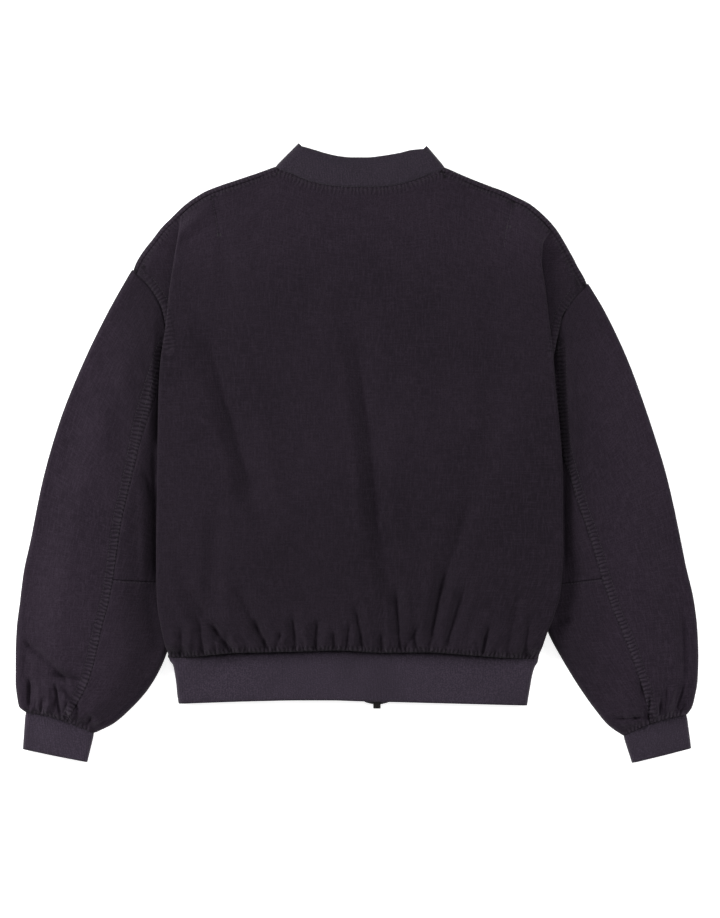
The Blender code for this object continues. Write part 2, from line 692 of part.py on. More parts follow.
def make_back(material):
    left, right = fold_rows("left"), fold_rows("right")
    seam = back_seam_points()
    seam_x = np.array([x for x, _ in seam])
    seam_y = np.array([y for _, y in seam])
    coarse = (seam_x - seam_x[0]) / (seam_x[-1] - seam_x[0])
    middle = np.linspace(0, 1, MIDDLE_COLUMNS)
    fine = np.linspace(0, 1, HEM_COLUMNS)
    count = len(left)
    bulge = seam_y - blend(seam_y[0], seam_y[-1], coarse)
    surface = Sheet()
    rows = []
    for k in range(count):
        from_hem = count - 1 - k
        shares = fine if from_hem < HEM_ROWS else middle if from_hem < MIDDLE_ROWS else coarse
        (x0, y0, top0, tuck0), (x1, y1, top1, tuck1) = left[k], right[k]
        x = blend(x0, x1, shares)
        y = blend(y0, y1, shares)
        fade = np.clip((y - LEVEL_Y) / (blend(seam_y[0], seam_y[-1], shares) - LEVEL_Y), 0, 1)
        top_line = np.interp(x, seam_x, seam_y)
        y = y + np.interp(shares, coarse, bulge) * fade
        if from_hem < len(HEM_STATIONS):
            y = hem_seam(x) + HEM_STATIONS[-1 - from_hem]
            y0, y1 = y[0], y[-1]
        z = back_height(shares, x, y, top_line - y, y - hem_seam(x))
        z = z + (top0 - z[0]) * ease(1 - (x - x[0]) / EDGE_BLEND)
        z = z + (top1 - z[-1]) * ease(1 - (x[-1] - x) / EDGE_BLEND)
        if k == 0:
            y = y - TOP_GAP
        if from_hem == 0:
            y = y + HALF_GAP
            y0, y1 = y[0], y[-1]
        points = [(q, y0, height) for q, height in tuck0]
        points += list(zip(x, y, z))
        points += [(q, y1, height) for q, height in reversed(tuck1)]
        tucks = np.arange(len(tuck0)) / len(tuck0)
        places = np.concatenate([tucks - 1, shares, 1 + (tucks + 1 / len(tuck0))])
        rows.append((places, points))
    surface.lay(rows)
    return finish("back", surface, CLOTH, material)


# Sleeves


def sleeve_top(ring, along, width):
    """Height of the sleeve's upper layer, measured from its inner edge."""
    rise = ease((along - ring.tuck) / SLEEVE_RISE)
    fall = ease((width - ring.radius - along) / min(SLEEVE_FALL, width * SLEEVE_FALL_SHARE))
    low = 2 * ring.radius
    return low + (ring.top - low) * rise * fall


def ring_at(side, station):
    """A ring of the sleeve, read between the rows of its table."""
    table = SLEEVE[side]
    if float(station).is_integer():
        return table[int(station)]
    rows = range(len(table))
    return Ring(*(float(smooth(rows, column, station)) for column in zip(*table)))


def section_point(side, ring, place, bend=0.0, slack=1.0):
    """A point round a section: -1 to 1 turns the inner edge, 1 to 2 crosses the top,
    2 to 4 turns the outer edge and 4 to 5 crosses underneath."""
    if place < -1:
        place += 6
    width = ring_width(ring)
    radius = ring.radius
    on_top = False
    if place <= 1:
        angle = place * math.pi / 2
        along = radius * (1 - math.cos(angle))
        height = radius * (1 + math.sin(angle))
    elif place < 2:
        along = blend(radius, width - radius, place - 1)
        height = float(sleeve_top(ring, along, width))
        on_top = True
    elif place <= 4:
        angle = (3 - place) * math.pi / 2
        along = width - radius * (1 - math.cos(angle))
        height = radius * (1 + math.sin(angle))
    else:
        along = blend(width - radius, radius, place - 4)
        height = 0.0
    share = along / width
    out = blend(ring.inner_out, ring.outer_out, share)
    out -= ARMHOLE_BOW[side] * ring.bow * float(read(BOW_SHAPE, "x", "y", 1 - share))
    y = blend(ring.inner_y, ring.outer_y, share) + bend * math.sin(math.pi * share)
    x = SIGN[side] * out
    if on_top:
        depth = float(fold_depth(SLEEVE_FOLDS[side], np.array(x), np.array(y)))
        height -= slack * depth * ease(min(place - 1, 2 - place) * width / FOLDS_FROM_EDGE)
    return x, y, height


def back_seam_place(side, ring, station):
    """Where the long sleeve seam crosses a ring."""
    if station == 0:
        return 2 - ARMHOLE_STATIONS[BACK_SEAM_STATION]
    inner = np.array([ring.inner_out, ring.inner_y])
    across = np.array([ring.outer_out, ring.outer_y]) - inner
    width = float(np.hypot(*across))
    seam = BACK_SEAM[side]
    for one, two in zip(seam, seam[1:]):
        run = np.array(two, float) - np.array(one, float)
        sides = np.column_stack([across, -run])
        share, along = np.linalg.solve(sides, np.array(one, float) - inner)
        if -0.02 <= along <= 1.02 and 0 < share < 1:
            break
    return 1 + (share * width - ring.radius) / (width - 2 * ring.radius)


def armhole_places(low, high, sign, base):
    """The armhole's own stations that lie between two places of its ring, in order."""
    places = sorted(base + sign * station for station in ARMHOLE_STATIONS)
    return [place for place in places if low + WELD < place < high - WELD]


def panel_zones(side, part, station, ring):
    """Places round one ring of a panel, in its three zones: two faces and the edge between them."""
    seam = back_seam_place(side, ring, station)
    front = 4 + ARMHOLE_STATIONS[FRONT_SEAM_STATION]
    shift = RIM_GAP / (ring_width(ring) - 2 * ring.radius)
    counts = PANEL_COLUMNS["outer" if part["outer"] else "inner"]
    top_count = counts["gathered" if station >= GATHER_RING else "top"]
    if part["outer"]:
        start, end = seam + shift, front - shift
        top = np.linspace(start, 2, top_count)
        under = np.linspace(4, end, counts["under"])
        if station == 0:
            top = [start, *armhole_places(start, 2, -1, 2), 2]
            under = [4, *armhole_places(4, end, 1, 4), end]
        return [top, np.linspace(2, 4, WRAP_STEPS + 1), under]
    start, end = front + shift - 6, seam - shift
    under = np.linspace(start, -1, counts["under"])
    top = np.linspace(1, end, top_count)
    if station == 0:
        under = [start, *armhole_places(start, -1, 1, -2), -1]
        top = [1, *armhole_places(1, end, -1, 2), end]
    return [under, np.linspace(-1, 1, WRAP_STEPS + 1), top]


def sleeve_rows(side, part):
    """The rings of one panel, each with its points and their places along it."""
    rows = []
    stations = [s for s in RING_STATIONS if part["first"] <= s <= part["last"]]
    for station in stations:
        ring = ring_at(side, station)
        bend = CUFF_BOW * ease((station - BOW_RING) / BOW_RINGS)
        slack = ease(stations[-1] - station) if part["last"] > CROSS_SEAM_RING else 1
        places, points = [], []
        for number, zone in enumerate(panel_zones(side, part, station, ring)):
            zone = np.asarray(zone, float)
            for place in zone if number == 0 else zone[1:]:
                places.append(number + (place - zone[0]) / (zone[-1] - zone[0]))
                points.append(np.array(section_point(side, ring, place, bend, slack)))
        rows.append((places, points))
    shift_end(rows, 0, ARMHOLE_GAP if part["first"] == 0 else HALF_GAP)
    shift_end(rows, -1)
    return rows


def shift_end(rows, which, gap=HALF_GAP):
    """Draws an end row back from its seam, square to the seam."""
    places, points = rows[which]
    next_places, next_points = rows[1] if which == 0 else rows[-2]
    points, inner = np.array(points), np.array(next_points)
    run = np.gradient(points[:, :2], axis=0)
    away = np.zeros(2)
    moved = points.copy()
    for k, place in enumerate(places):
        target = [np.interp(place, next_places, inner[:, axis]) for axis in range(2)]
        if np.linalg.norm(run[k]) > WELD:
            away = unit(np.array([-run[k][1], run[k][0]]))
        if away @ (target - points[k, :2]) < 0:
            away = -away
        moved[k, :2] += gap * away
    rows[which] = (places, moved)


def make_sleeve(side, material):
    for name, part in SLEEVE_PARTS.items():
        surface = Sheet()
        surface.lay(sleeve_rows(side, part))
        finish(f"sleeve_{side}_{name}", surface, CLOTH, material)


def make_cuff(side, material):
    start, end = SLEEVE[side][-1], CUFF_END[side]
    places = np.concatenate([
        np.linspace(-1, 1, WRAP_STEPS + 1), np.linspace(1, 2, CUFF_TOP_COLUMNS)[1:],
        np.linspace(2, 4, WRAP_STEPS + 1)[1:], np.linspace(4, 5, CUFF_UNDER_COLUMNS)[1:],
    ])
    rows = []
    for station in CUFF_STATIONS:
        ring = Ring(*(blend(a, b, station) for a, b in zip(start, end)))
        bend = CUFF_BOW * (1 - station)
        rows.append((places, [np.array(section_point(side, ring, place, bend)) for place in places]))
    shift_end(rows, 0)
    surface = Sheet()
    surface.lay(rows)
    return finish(f"cuff_{side}", surface, RIB, material)


# Fronts


def front_rows(side):
    """Rows of a front down its armhole and side seam: (out, y, rise, y of every column)."""
    line = neckline(side, ZIP_HALF_WIDTH, HALF_GAP)
    shoulder = [wrap[0] for wrap in shoulder_wraps(side)]
    edge = np.array([tuple(point) for point in line[:-1]] + [point[:2] for point in shoulder], float)
    reach = (edge[:, 0] - edge[0, 0]) / (edge[-1, 0] - edge[0, 0])
    lift = np.interp(FRONT_COLUMNS[side], reach, edge[:, 1]) - edge[-1, 1]
    sides = [(out, y, low) for out, y, _, low in armhole_stations(side)]
    underarm = len(sides)
    sides += [(out, y, EDGE_RADIUS) for out, y in side_stations(side)]
    rows = []
    for k, (out, y, low) in enumerate(sides):
        from_hem = len(sides) - 1 - k
        columns = y + lift * np.clip((y - LIFT_END) / (edge[-1, 1] - LIFT_END), 0, 1)
        start = SIGN[side] * zip_line(columns[0]) + ZIP_HALF_WIDTH
        q = blend(start, out - low, np.array(FRONT_COLUMNS[side]))
        if from_hem < len(HEM_STATIONS):
            columns = hem_seam(SIGN[side] * q) + HEM_STATIONS[-1 - from_hem]
        if from_hem == 0:
            columns = columns + HALF_GAP
        if from_hem not in FRONT_SKIPS:
            trim = 0 if k >= underarm else SEAM_TRIM if low == 0 else UNDERARM_TRIM
            rows.append((out - trim, low, q, columns))
    return rows


def front_shoulder(side):
    """The shoulder edge as the front has it: a gap clear of the back, the collar and the sleeve."""
    wraps = shoulder_wraps(side)
    shoulder = []
    for k, wrap in enumerate(wraps):
        inner = wraps[1] if k == 0 else wraps[k - 1]
        step = unit(np.array(inner[2][:2]) - np.array(wrap[2][:2]))
        ends = HALF_GAP * (k in (0, len(wraps) - 1))
        moved = [np.array(point) + ends * np.array([*step, 0]) for point in wrap]
        moved[-1] += RIM_GAP * unit(moved[-2] - moved[-1])
        shoulder.append(moved)
    return shoulder


def make_front(side, material):
    sign = SIGN[side]
    shoulder = front_shoulder(side)
    neck = neckline(side, ZIP_HALF_WIDTH, RIM_GAP)[:-1]
    floor_line = [tuple(point) for point in neck] + [tuple(wrap[0][:2]) for wrap in shoulder]
    first, last = floor_line[0][0], floor_line[-1][0]
    places = [(q - first) / (last - first) for q, _ in floor_line]
    surface = Sheet()
    rows = []
    for turn in range(len(SHOULDER_TURNS) - 1, 0, -1):
        ring = [(sign * wrap[turn][0], *wrap[turn][1:]) for wrap in shoulder]
        rows.append((places[len(neck):], ring))
    laid = surface.lay(rows)
    floor = surface.row(places, [(sign * q, y, zip_bump(sign * q, y)) for q, y in floor_line])
    surface.join(laid[-1], floor[len(neck):])
    body = []
    for out, low, q, columns in front_rows(side):
        points = [(sign * a, b, float(zip_bump(sign * a, b))) for a, b in zip(q, columns)]
        for turn in np.radians(SIDE_TURNS):
            edge = out - low * (1 - math.sin(turn))
            points.append((sign * edge, columns[-1], low * (1 - math.cos(turn))))
        if low == 0:
            points = points[: len(q)]
            points[-1] = (sign * out, *points[-1][1:])
            points += [points[-1]] * len(SIDE_TURNS)
        else:
            points[-1] = (*points[-1][:2], low - RIM_GAP)
        tips = 1 + 0.1 * np.arange(1, len(SIDE_TURNS) + 1)
        body.append((np.concatenate([FRONT_COLUMNS[side], tips]), points))
    laid = surface.lay(body)
    surface.join(floor, laid[0])
    return finish(f"front_{side}", surface, CLOTH, material)


# Ribs


def collar_lines(side):
    """One side of the collar's seam and of its top edge, from the zip round to the shoulder."""
    sign = SIGN[side]
    zip_x = float(zip_line(ZIP_TOP)) + sign * TAPE_EDGE
    seam = [(sign * q, y, 0) for q, y in neckline(side, TAPE_EDGE, -HALF_GAP)[:-1]]
    seam += [(sign * q, y, z) for q, y, z in shoulder_wraps(side)[0]]
    inward = np.array(COLLAR_INWARD) / np.hypot(*COLLAR_INWARD)
    top = [(zip_x, COLLAR_FRONT[side][-1].y - COLLAR_DIP, 0)]
    top += [(sign * point.out, point.y, 0) for point in reversed(COLLAR_FRONT[side])]
    top += [(sign * q, y, z) for q, y, z in rounded_edge(COLLAR_CORNER[side], inward)]
    return seam, top


def make_collar(material):
    left_seam, left_top = collar_lines("left")
    right_seam, right_top = collar_lines("right")
    back_seam = [(point.x, point.y, float(neck_height(point.x))) for point in NECK_BACK]
    back_top = [(point.x, point.y, 2 * EDGE_RADIUS + SEAM_RISE) for point in COLLAR_BACK]
    lower = np.array(left_seam + back_seam + right_seam[::-1])
    upper = np.array(left_top + back_top + right_top[::-1])
    off_table = (lower[:, 2] > 0) | (lower[:, 1] > NECK_FRONT["left"][0].y + 1)
    up = np.array([unit(step) for step in upper - lower])
    rows = []
    for share in COLLAR_STATIONS:
        points = blend(lower, upper, share)
        if share == 0:
            points += HALF_GAP * up * off_table[:, None]
        on_back = points[:, 2] > EDGE_RADIUS * 1.5
        on_table = points[:, 2] < WELD
        points[:, 2] += COLLAR_ROLL * math.sin(math.pi * share) * on_back
        points[:, 2] += zip_bump(points[:, 0], points[:, 1]) * on_table
        rows.append((np.arange(len(points)), points))
    surface = Sheet()
    surface.lay(rows)
    return finish("collar_rib", surface, RIB, material)


def hem_rib_line(x, share, on_front):
    """Where a row of the hem rib lies: from the seam at 0 to the edge at 1."""
    edge = float(read(HEM_EDGE, "x", "y", x))
    if on_front:
        beside = (x - zip_line(edge)) / HEM_DROP_WIDTH
        edge += HEM_TUCK - HEM_DROP * math.exp(-(beside**2))
    return blend(float(hem_seam(x)) - RIM_GAP, edge, share)


def hem_rib_row(below):
    """One row of the hem rib, from the zip round the back and on to the zip again."""
    share = below / HEM_RIB_END
    left = float(read(HEM_SIDE, "below", "left", below)) - EDGE_RADIUS
    right = float(read(HEM_SIDE, "below", "right", below)) - EDGE_RADIUS
    zip_x = float(zip_line(hem_rib_line(zip_line(HEM_ZIP_Y), share, False)))
    steps = np.array(HEM_FRONT_STEPS, float)
    front_left = np.linspace(zip_x - HEM_FRONT_START, -left, HEM_FRONT_COLUMNS)
    front_left = np.concatenate([zip_x - ZIP_HALF_WIDTH - steps, front_left])
    front_right = np.linspace(right, zip_x + HEM_FRONT_START, HEM_FRONT_COLUMNS)[1:]
    front_right = np.concatenate([front_right, zip_x + ZIP_HALF_WIDTH + steps[::-1]])
    turns = np.radians(np.linspace(-90, 90, 2 * WRAP_STEPS - 1))
    points = [(x, hem_rib_line(x, share, x > -left), 0.0) for x in front_left]
    for turn in turns[1:]:
        x = -(left + EDGE_RADIUS * math.cos(turn))
        points.append((x, hem_rib_line(x, share, False), EDGE_RADIUS * (1 + math.sin(turn))))
    for x in np.linspace(-left, right, HEM_BACK_COLUMNS)[1:]:
        rise = RIB_RISE * math.sin(math.pi * (x + left) / (left + right))
        points.append((x, hem_rib_line(x, share, False), 2 * EDGE_RADIUS + rise))
    for turn in turns[::-1][1:]:
        x = right + EDGE_RADIUS * math.cos(turn)
        points.append((x, hem_rib_line(x, share, False), EDGE_RADIUS * (1 + math.sin(turn))))
    points += [(x, hem_rib_line(x, share, True), 0.0) for x in front_right]
    return points


def make_hem_rib(material):
    rows = []
    for below in HEM_RIB_STATIONS:
        points = hem_rib_row(below)
        rows.append((np.arange(len(points)), points))
    surface = Sheet()
    surface.lay(rows)
    return finish("hem_rib", surface, RIB, material)


# Zip


def tape_height(x, y):
    """The underside of the tape, on the fronts and then on the thicker hem rib."""
    over_rib = ease((hem_seam(x) + TAPE_OVER_HEM[0] - y) / TAPE_STEP_UP)
    return TAPE_LIFT + (RIB - CLOTH) * over_rib + zip_bump(x, y)


def make_tape(side, material):
    """A tape on the inner face of its front, with a row at each row of that front."""
    sign = SIGN[side]
    rows = []
    seam = float(hem_seam(zip_line(HEM_ZIP_Y)))
    fronts = [float(columns[0]) for *_, columns in front_rows(side)]
    stations = [ZIP_TOP - TAPE_TOP_STEPS[0]]
    stations += [y for y in fronts if seam + TAPE_STEP_OFF < y < ZIP_TOP - TAPE_TOP_STEPS[1]]
    stations += [seam + above for above in TAPE_OVER_HEM] + [BOX_TOP + RIM_GAP]
    for y in stations:
        middle = float(zip_line(y))
        points = []
        for across in (TAPE_EDGE, ZIP_HALF_WIDTH, TAPE_WIDTH):
            x = middle + sign * across
            points.append((x, y, float(tape_height(x, y))))
        rows.append((range(3), points))
    surface = Sheet()
    surface.lay(rows)
    return finish(f"zip_tape_{side}", surface, TAPE, material)


def box_form(low, high):
    form = bmesh.new()
    size = Vector(high) - Vector(low)
    middle = (Vector(high) + Vector(low)) / 2
    place = Matrix.Translation(middle * MM) @ Matrix.Diagonal((*(size * MM), 1))
    bmesh.ops.create_cube(form, size=1, matrix=place)
    return form


def rod_form(middle, radius, length):
    form = bmesh.new()
    turn = Matrix.Rotation(math.pi / 2, 4, "Y")
    bmesh.ops.create_cone(
        form, cap_ends=True, segments=ROD_SIDES, radius1=radius * MM, radius2=radius * MM,
        depth=length * MM, matrix=Matrix.Translation(Vector(middle) * MM) @ turn,
    )
    return form


def eye_form(half_length):
    """A ring with a bore through it, along X."""
    form = bmesh.new()
    turns = [2 * math.pi * (k + 0.5) / EYE_SIDES for k in range(EYE_SIDES)]
    rims = []
    for x in (-half_length, half_length):
        for radius in (EYE_INNER, EYE_OUTER):
            places = [(x, radius * math.cos(turn), radius * math.sin(turn)) for turn in turns]
            rims.append([form.verts.new(Vector(place) * MM) for place in places])
    inner_left, outer_left, inner_right, outer_right = rims
    for k in range(EYE_SIDES):
        n = (k + 1) % EYE_SIDES
        form.faces.new((inner_left[k], inner_left[n], outer_left[n], outer_left[k]))
        form.faces.new((outer_right[k], outer_right[n], inner_right[n], inner_right[k]))
        form.faces.new((outer_left[k], outer_left[n], outer_right[n], outer_right[k]))
        form.faces.new((inner_right[k], inner_right[n], inner_left[n], inner_left[k]))
    bmesh.ops.recalc_face_normals(form, faces=form.faces)
    return form


def joined(name, forms, material, origin=(0, 0, 0)):
    """Overlapping forms made one body, whose own origin is where they are placed."""
    pieces = []
    for number, form in enumerate(forms):
        mesh = bpy.data.meshes.new(f"{name}_{number}")
        form.to_mesh(mesh)
        form.free()
        if number == 0:
            piece = add_object(name, mesh, material)
        else:
            piece = bpy.data.objects.new(f"{name}_{number}", mesh)
            piece.hide_render = True
            piece.display_type = "WIRE"
            cutters.objects.link(piece)
            union = pieces[0].modifiers.new(f"Join {number}", "BOOLEAN")
            union.operation = "UNION"
            union.object = piece
        piece.location = Vector(origin) * MM
        pieces.append(piece)
    return pieces[0]


def pull_pivot():
    """The middle of the pin that the pull turns on."""
    top = ZIP_TOP - SLIDER_BELOW_TOP
    x = float(zip_line(top - SLIDER_LENGTH / 2))
    return x, top - SLIDER_LENGTH + PIN_FROM_END, PULL_LEVEL


def make_slider(material):
    """Two plates joined at the top, with a channel for the chain and a lug under the outer plate."""
    x, pin_y, pin_z = pull_pivot()
    top = ZIP_TOP - SLIDER_BELOW_TOP
    bottom = top - SLIDER_LENGTH
    low, high = SLIDER_LOW, SLIDER_LOW + SLIDER_HEIGHT
    wide = SLIDER_HALF_WIDTH
    forms = [
        box_form((x - wide, bottom, low), (x + wide, top, low + PLATE)),
        box_form((x - wide, bottom, high - PLATE), (x + wide, top, high)),
        box_form(
            (x - BRIDGE, top - BRIDGE_LENGTH, low + OVERLAP),
            (x + BRIDGE, top - OVERLAP, high - OVERLAP),
        ),
    ]
    for sign in SIGN.values():
        inner, outer = sorted([x + sign * LUG_INNER, x + sign * LUG_OUTER])
        forms.append(box_form(
            (inner, pin_y - LUG_HALF_LENGTH, pin_z - LUG_DROP),
            (outer, pin_y + LUG_HALF_LENGTH, low + OVERLAP),
        ))
    forms.append(rod_form((x, pin_y, pin_z), PIN_RADIUS, 2 * (LUG_OUTER - OVERLAP)))
    return joined("zip_slider", forms, material)


def make_pull(material):
    """A flat tab on an eye that turns on the slider's pin. Its own origin is on that axis."""
    half_eye = LUG_INNER - EYE_PLAY
    half = PULL_THICKNESS / 2
    forms = [
        eye_form(half_eye),
        box_form((-half_eye, -PULL_NECK, -half), (half_eye, -EYE_OUTER + EYE_PLAY, half)),
        box_form((-PULL_HALF_WIDTH, -PULL_LENGTH, -half), (PULL_HALF_WIDTH, -PULL_SHOULDER, half)),
    ]
    return joined("zip_pull", forms, material, pull_pivot())


def make_box(material):
    """The block at the bottom of the zip, under the ends of both tapes."""
    x = float(zip_line(BOX_TOP))
    high = float(tape_height(x, BOX_TOP)) + TAPE + BOX_ABOVE_TAPE
    low_corner = (x - BOX_HALF_WIDTH, BOX_BOTTOM, BOX_LOW)
    high_corner = (x + BOX_HALF_WIDTH, BOX_TOP, high)
    return joined("zip_box", [box_form(low_corner, high_corner)], material)


for leftover in list(bpy.data.objects):
    bpy.data.objects.remove(leftover)
parts = bpy.data.collections.new("bomber_jacket")
cutters = bpy.data.collections.new("cutters")
for collection in (parts, cutters):
    bpy.context.scene.collection.children.link(collection)

cloth = make_material("washed_cotton", COLOURS["cloth"], 0.9)
rib = make_material("rib_knit", COLOURS["rib"], 0.95)
tape = make_material("zip_tape", COLOURS["tape"], 0.85)
metal = make_material("dark_metal", COLOURS["metal"], 0.35, 1.0)

make_back(cloth)
for side in SIGN:
    make_front(side, cloth)
    make_sleeve(side, cloth)
    make_cuff(side, rib)
    make_tape(side, tape)
make_collar(rib)
make_hem_rib(rib)
make_slider(metal)
make_pull(metal)
make_box(metal)
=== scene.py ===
# Bomber jacket of washed cotton, laid flat on its front with the back up.
# The tables are in millimetres, +Y towards the collar; meshes are in metres.

import math

import bmesh
import bpy
import numpy as np
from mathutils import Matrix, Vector
from mathutils.bvhtree import BVHTree


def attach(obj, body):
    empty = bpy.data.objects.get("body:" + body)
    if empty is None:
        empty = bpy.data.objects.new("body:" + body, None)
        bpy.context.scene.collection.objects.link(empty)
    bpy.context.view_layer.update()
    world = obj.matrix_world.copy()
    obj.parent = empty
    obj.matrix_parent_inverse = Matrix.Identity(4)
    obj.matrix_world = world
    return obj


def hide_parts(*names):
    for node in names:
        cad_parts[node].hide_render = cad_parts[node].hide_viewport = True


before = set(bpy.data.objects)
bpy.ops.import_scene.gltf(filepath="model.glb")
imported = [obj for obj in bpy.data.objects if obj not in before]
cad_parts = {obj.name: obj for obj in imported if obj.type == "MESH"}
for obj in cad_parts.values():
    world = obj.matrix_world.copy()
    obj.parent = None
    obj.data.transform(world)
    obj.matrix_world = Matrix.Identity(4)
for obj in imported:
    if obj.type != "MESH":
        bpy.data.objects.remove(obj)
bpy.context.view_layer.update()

mm = 0.001
signs = {"left": -1, "right": 1}
print("frame loaded with", len(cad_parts), "nodes")


# Camera, light and floor

studio = {
    "view": (3.44, -6.89),  # what the middle of the picture looks at
    "height": 1053.9,       # how much of the table the picture's height shows
    "distance": 3.0, "sensor": 36, "farClip": 20,
    "skyStrength": 0.2,
    "tableReach": 9.0, "tableDrop": 0.6, "tableTone": 0.86, "tableRoughness": 0.9, "tableGlow": 0.62,
}
softboxes = {  # power, place, size
    "leftSoftbox": (50, (-1.75, 0.5, 0.95), 1.0), "rightSoftbox": (25, (1.8, 0.3, 0.95), 1.1),
    "topSoftbox": (14, (-0.2, 1.9, 1.5), 1.4), "bottomSoftbox": (20, (0.2, -2.0, 1.3), 1.4),
}


def place(name, data):
    piece = bpy.data.objects.new(name, data)
    bpy.context.scene.collection.objects.link(piece)
    return piece


def makeCamera():
    lens = bpy.data.cameras.new("overhead")
    lens.sensor_width = studio["sensor"]
    lens.lens = studio["sensor"] * studio["distance"] / (studio["height"] * mm)
    lens.clip_end = studio["farClip"]
    camera = place("overhead", lens)
    camera.location = (studio["view"][0] * mm, studio["view"][1] * mm, studio["distance"])
    bpy.context.scene.camera = camera


def makeLights():
    for name, (power, spot, size) in softboxes.items():
        lamp = bpy.data.lights.new(name, "AREA")
        lamp.shape = "DISK"
        lamp.energy = power
        lamp.size = size
        holder = place(name, lamp)
        holder.location = spot
        holder.rotation_euler = (-Vector(spot)).to_track_quat("-Z", "Y").to_euler()
    sky = bpy.data.worlds.new("studioAir")
    sky.use_nodes = True
    air = sky.node_tree.nodes["Background"].inputs
    air["Color"].default_value = (1, 1, 1, 1)
    air["Strength"].default_value = studio["skyStrength"]
    scene = bpy.context.scene
    scene.world = sky
    scene.view_settings.view_transform = "Standard"
    scene.view_settings.look = "None"


def makeTable():
    mesh = bpy.data.meshes.new("studioFloor")
    reach, drop = studio["tableReach"], -studio["tableDrop"] * mm
    corners = [(-reach, -reach, drop), (reach, -reach, drop), (reach, reach, drop), (-reach, reach, drop)]
    mesh.from_pydata(corners, [], [(0, 1, 2, 3)])
    paper = bpy.data.materials.new("paleTable")
    paper.use_nodes = True
    shader = paper.node_tree.nodes["Principled BSDF"].inputs
    shader["Base Color"].default_value = (*[studio["tableTone"]] * 3, 1)
    shader["Roughness"].default_value = studio["tableRoughness"]
    shader["Emission Color"].default_value = (1, 1, 1, 1)
    shader["Emission Strength"].default_value = studio["tableGlow"]
    mesh.materials.append(paper)
    place("studioFloor", mesh)


makeCamera()
makeLights()
makeTable()
print("studio ready")


# Materials

clothLook = {
    # deep is a darker tone for random cloud and flecks, and the painted shade of pucker troughs and seam
    # grooves
    "colour": (0.0122, 0.0081, 0.0134), "faded": (0.0200, 0.0140, 0.0219), "deep": (0.0070, 0.0044, 0.0080),
    "worn": (0.0330, 0.0250, 0.0355),
    "threadPitch": 0.55, "weaveDepth": 0.05, "slubDepth": 0.06, "crumpleSize": 42, "crumpleDepth": 0.9,
    "warpSlub": (600, 60, 1), "weftSlub": (48, 640, 1), "warpFaded": 0.75, "weftFaded": 0.70,
    "fleckDeep": 0.7,
    "puckerPitch": 4.6, "puckerDrift": 9.0, "puckerFade": (0.7, 1.15), "puckerShade": -1.5,
    "grooveEdges": (0.02, 0.13), "grooveDepth": 0.2, "crestWorn": 0.8,
    "roughness": 0.80, "fibreRoughness": 0.12, "sheen": 0.03, "sheenRoughness": 0.5, "specular": 0.1,
}
ribLook = {
    # groove is the painted shade colour of the valleys between the ribs, and also a darker tone for random
    # cloud
    "colour": (0.0232, 0.0163, 0.0274), "groove": (0.0112, 0.0077, 0.0135), "fuzz": (0.0440, 0.0326, 0.0508),
    "ribPitch": 1.9, "stitchPitch": 1.3, "ribDepth": 0.3, "fuzzDepth": 0.15, "loopHeight": 0.35,
    "fuzzShare": 0.85, "cloudShare": 0.3,
    "roughness": 0.85, "fibreRoughness": 0.1, "sheen": 0.12, "sheenRoughness": 0.5, "specular": 0.15,
}


def addNode(tree, kind, inputs, **settings):  # inputs are values or sockets; gives the outputs
    node = tree.nodes.new(kind)
    for key, value in settings.items():
        setattr(node, key, value)
    for key, value in inputs.items():
        if isinstance(value, bpy.types.NodeSocket):
            tree.links.new(value, node.inputs[key])
        else:
            node.inputs[key].default_value = value
    return node.outputs


